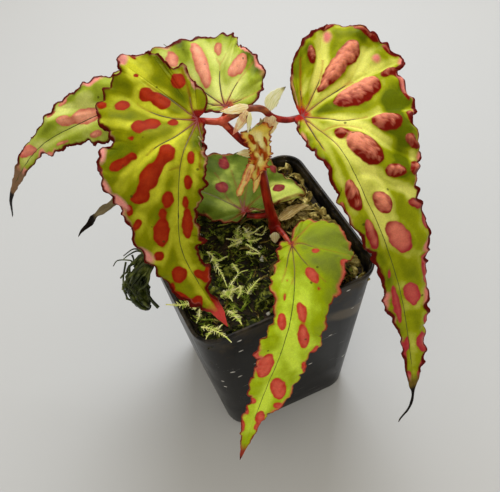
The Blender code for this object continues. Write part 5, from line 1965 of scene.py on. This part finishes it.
# Fresh sprigs lie on the moss left of the stem, out over the left rim and over the front left corner.
FRESH_SPRIGS = [
    [(-0.5, 6.2, 81.5), (3.5, 4.9, 83), (8, 4.9, 84.5)],
    [(-1, 5.2, 81.5), (-4.5, 5.4, 82), (-7.7, 7.6, 82.5)],
    [(-2.4, 4.1, 81.5), (-5.6, 3.8, 81.8), (-8.7, 3.5, 82)],
    [(-1.8, 1.5, 82), (-0.1, -2.7, 82.2), (1.1, -6.3, 82.5)],
    [(-3.3, -2.4, 81.5), (-1, -4.5, 81.8), (0.9, -6.1, 82)],
    [(-3, 6.8, 81), (-1.3, 10.5, 81.3), (0.5, 11.9, 81.7)],
    [(3.9, 4.6, 82), (5.9, 2.4, 82.3), (7.8, 3.4, 82.7), (9.3, 5.4, 83)],
    [(1, 3.6, 82), (1.4, 7.2, 82.5), (0.7, 9.6, 83)],
    [(-0.4, 2.5, 82), (2.6, 1.2, 82.2), (5.1, 0.8, 82.5)],
    [(-0.4, 7.4, 81.5), (0.3, 3, 81.8), (-0.1, -0.7, 82)],
    [(-16.9, 6.5, 80.5), (-15.7, 3.3, 80.8), (-16.6, -2.7, 81), (-16.4, -8.1, 81.2), (-17.3, -14.7, 81.5)],
    [(-10.7, -4.6, 81), (-10.4, -7.6, 81.5), (-10.9, -11.2, 82)],
    [(-16.8, -15.6, 82), (-11, -11.6, 82.5), (-6.8, -12, 83)],
    [(-21.4, -17.5, 81), (-16.5, -17.3, 81.5), (-13.1, -17.4, 82)],
    [(-19.2, -15.4, 81), (-18.7, -18.3, 81.5), (-18.3, -22.3, 82)],
    [(-15, -14.8, 81.5), (-16.6, -17.5, 81.8), (-18.9, -19.8, 82)],
    [(-12.6, -16.2, 81), (-13.6, -19.4, 81.5), (-16, -21.9, 82)],
    [(-11.7, -21.2, 81), (-9.8, -20.1, 81.8), (-4.5, -17.6, 82.5)],
    [(-32.7, -20.4, 84), (-34.4, -18, 85.5), (-38.6, -17.6, 87), (-42.6, -16.3, 88.5)],
    [(-31.4, -20.9, 83.5), (-32.9, -24.3, 84.2), (-35.1, -27.2, 85)],
    [(-34.3, -30.6, 86), (-31.7, -33.5, 86.8), (-29.1, -38.4, 87.7), (-27.7, -43.7, 88.5)],
    [(-30.7, -33.6, 86), (-29.1, -34.8, 87), (-27.4, -34.6, 88)],
    [(-30.8, -33.8, 86), (-33.2, -35.3, 87), (-35.3, -37.7, 88)],
    [(-22.1, -26.8, 83), (-21, -29.8, 84.3), (-20.8, -34.1, 85.7), (-20.8, -37.1, 87)],
    [(-17.1, 1.3, 81), (-14.4, -0.7, 81.5), (-10.8, -0.8, 82)]]

HANGING_MOSS = MossOverhang(
    path=[(-28, 11, 81.9), (-33, 10, 87.4), (-38.5, 9, 89.5), (-44, 7, 87), (-48, 6, 81), (-48.5, 4, 75),
          (-47, 3, 68)],
    radii=[1.6, 1.8, 2.0, 2.4, 3.4, 3.0, 1.0],
    tendrils=[[(-40.5, 13, 89), (-42.7, 15.3, 89.3), (-44.7, 16, 89.3), (-48.6, 15.7, 88)],
              [(-40.5, 12.5, 88.5), (-43, 14.8, 88.8), (-46.3, 15.1, 88.1), (-49, 14.9, 87.2)],
              [(-44.5, 10, 84.5), (-46.1, 12.4, 86), (-47.1, 13.6, 86.7), (-51.3, 15.5, 87),
               (-53.8, 14.7, 85.7)], [(-45.3, 14.6, 88), (-45.4, 13.2, 86.8), (-46.2, 12.3, 85.9)],
              [(-48.6, 13.7, 86.4), (-52, 9.5, 82.5), (-53.4, 6, 79), (-53, 3.5, 76)]],
    twig=[(-46.5, 6.5, 82), (-45.9, 3.8, 79), (-45.1, -0.4, 75.9), (-43.6, -3.9, 73.5)])


def main() -> None:
    """Builds every sub-assembly in order."""
    logging.basicConfig(level=logging.INFO, format="%(message)s")
    Studio().build()
    pot = Pot()
    pot.build()
    medium = GrowingMedium(pot)
    medium.build()
    MossBed(medium, FRESH_SPRIGS).build()
    HANGING_MOSS.build()
    PLANT_STEM.build()
    for leaf in (LEAF_LEFT, LEAF_RIGHT, LEAF_FRONT, LEAF_BACK, LEAF_LOW_BACK, YOUNG_LEAF, *TAILS, *SCALES):
        leaf.build()


if __name__ == "__main__":
    main()
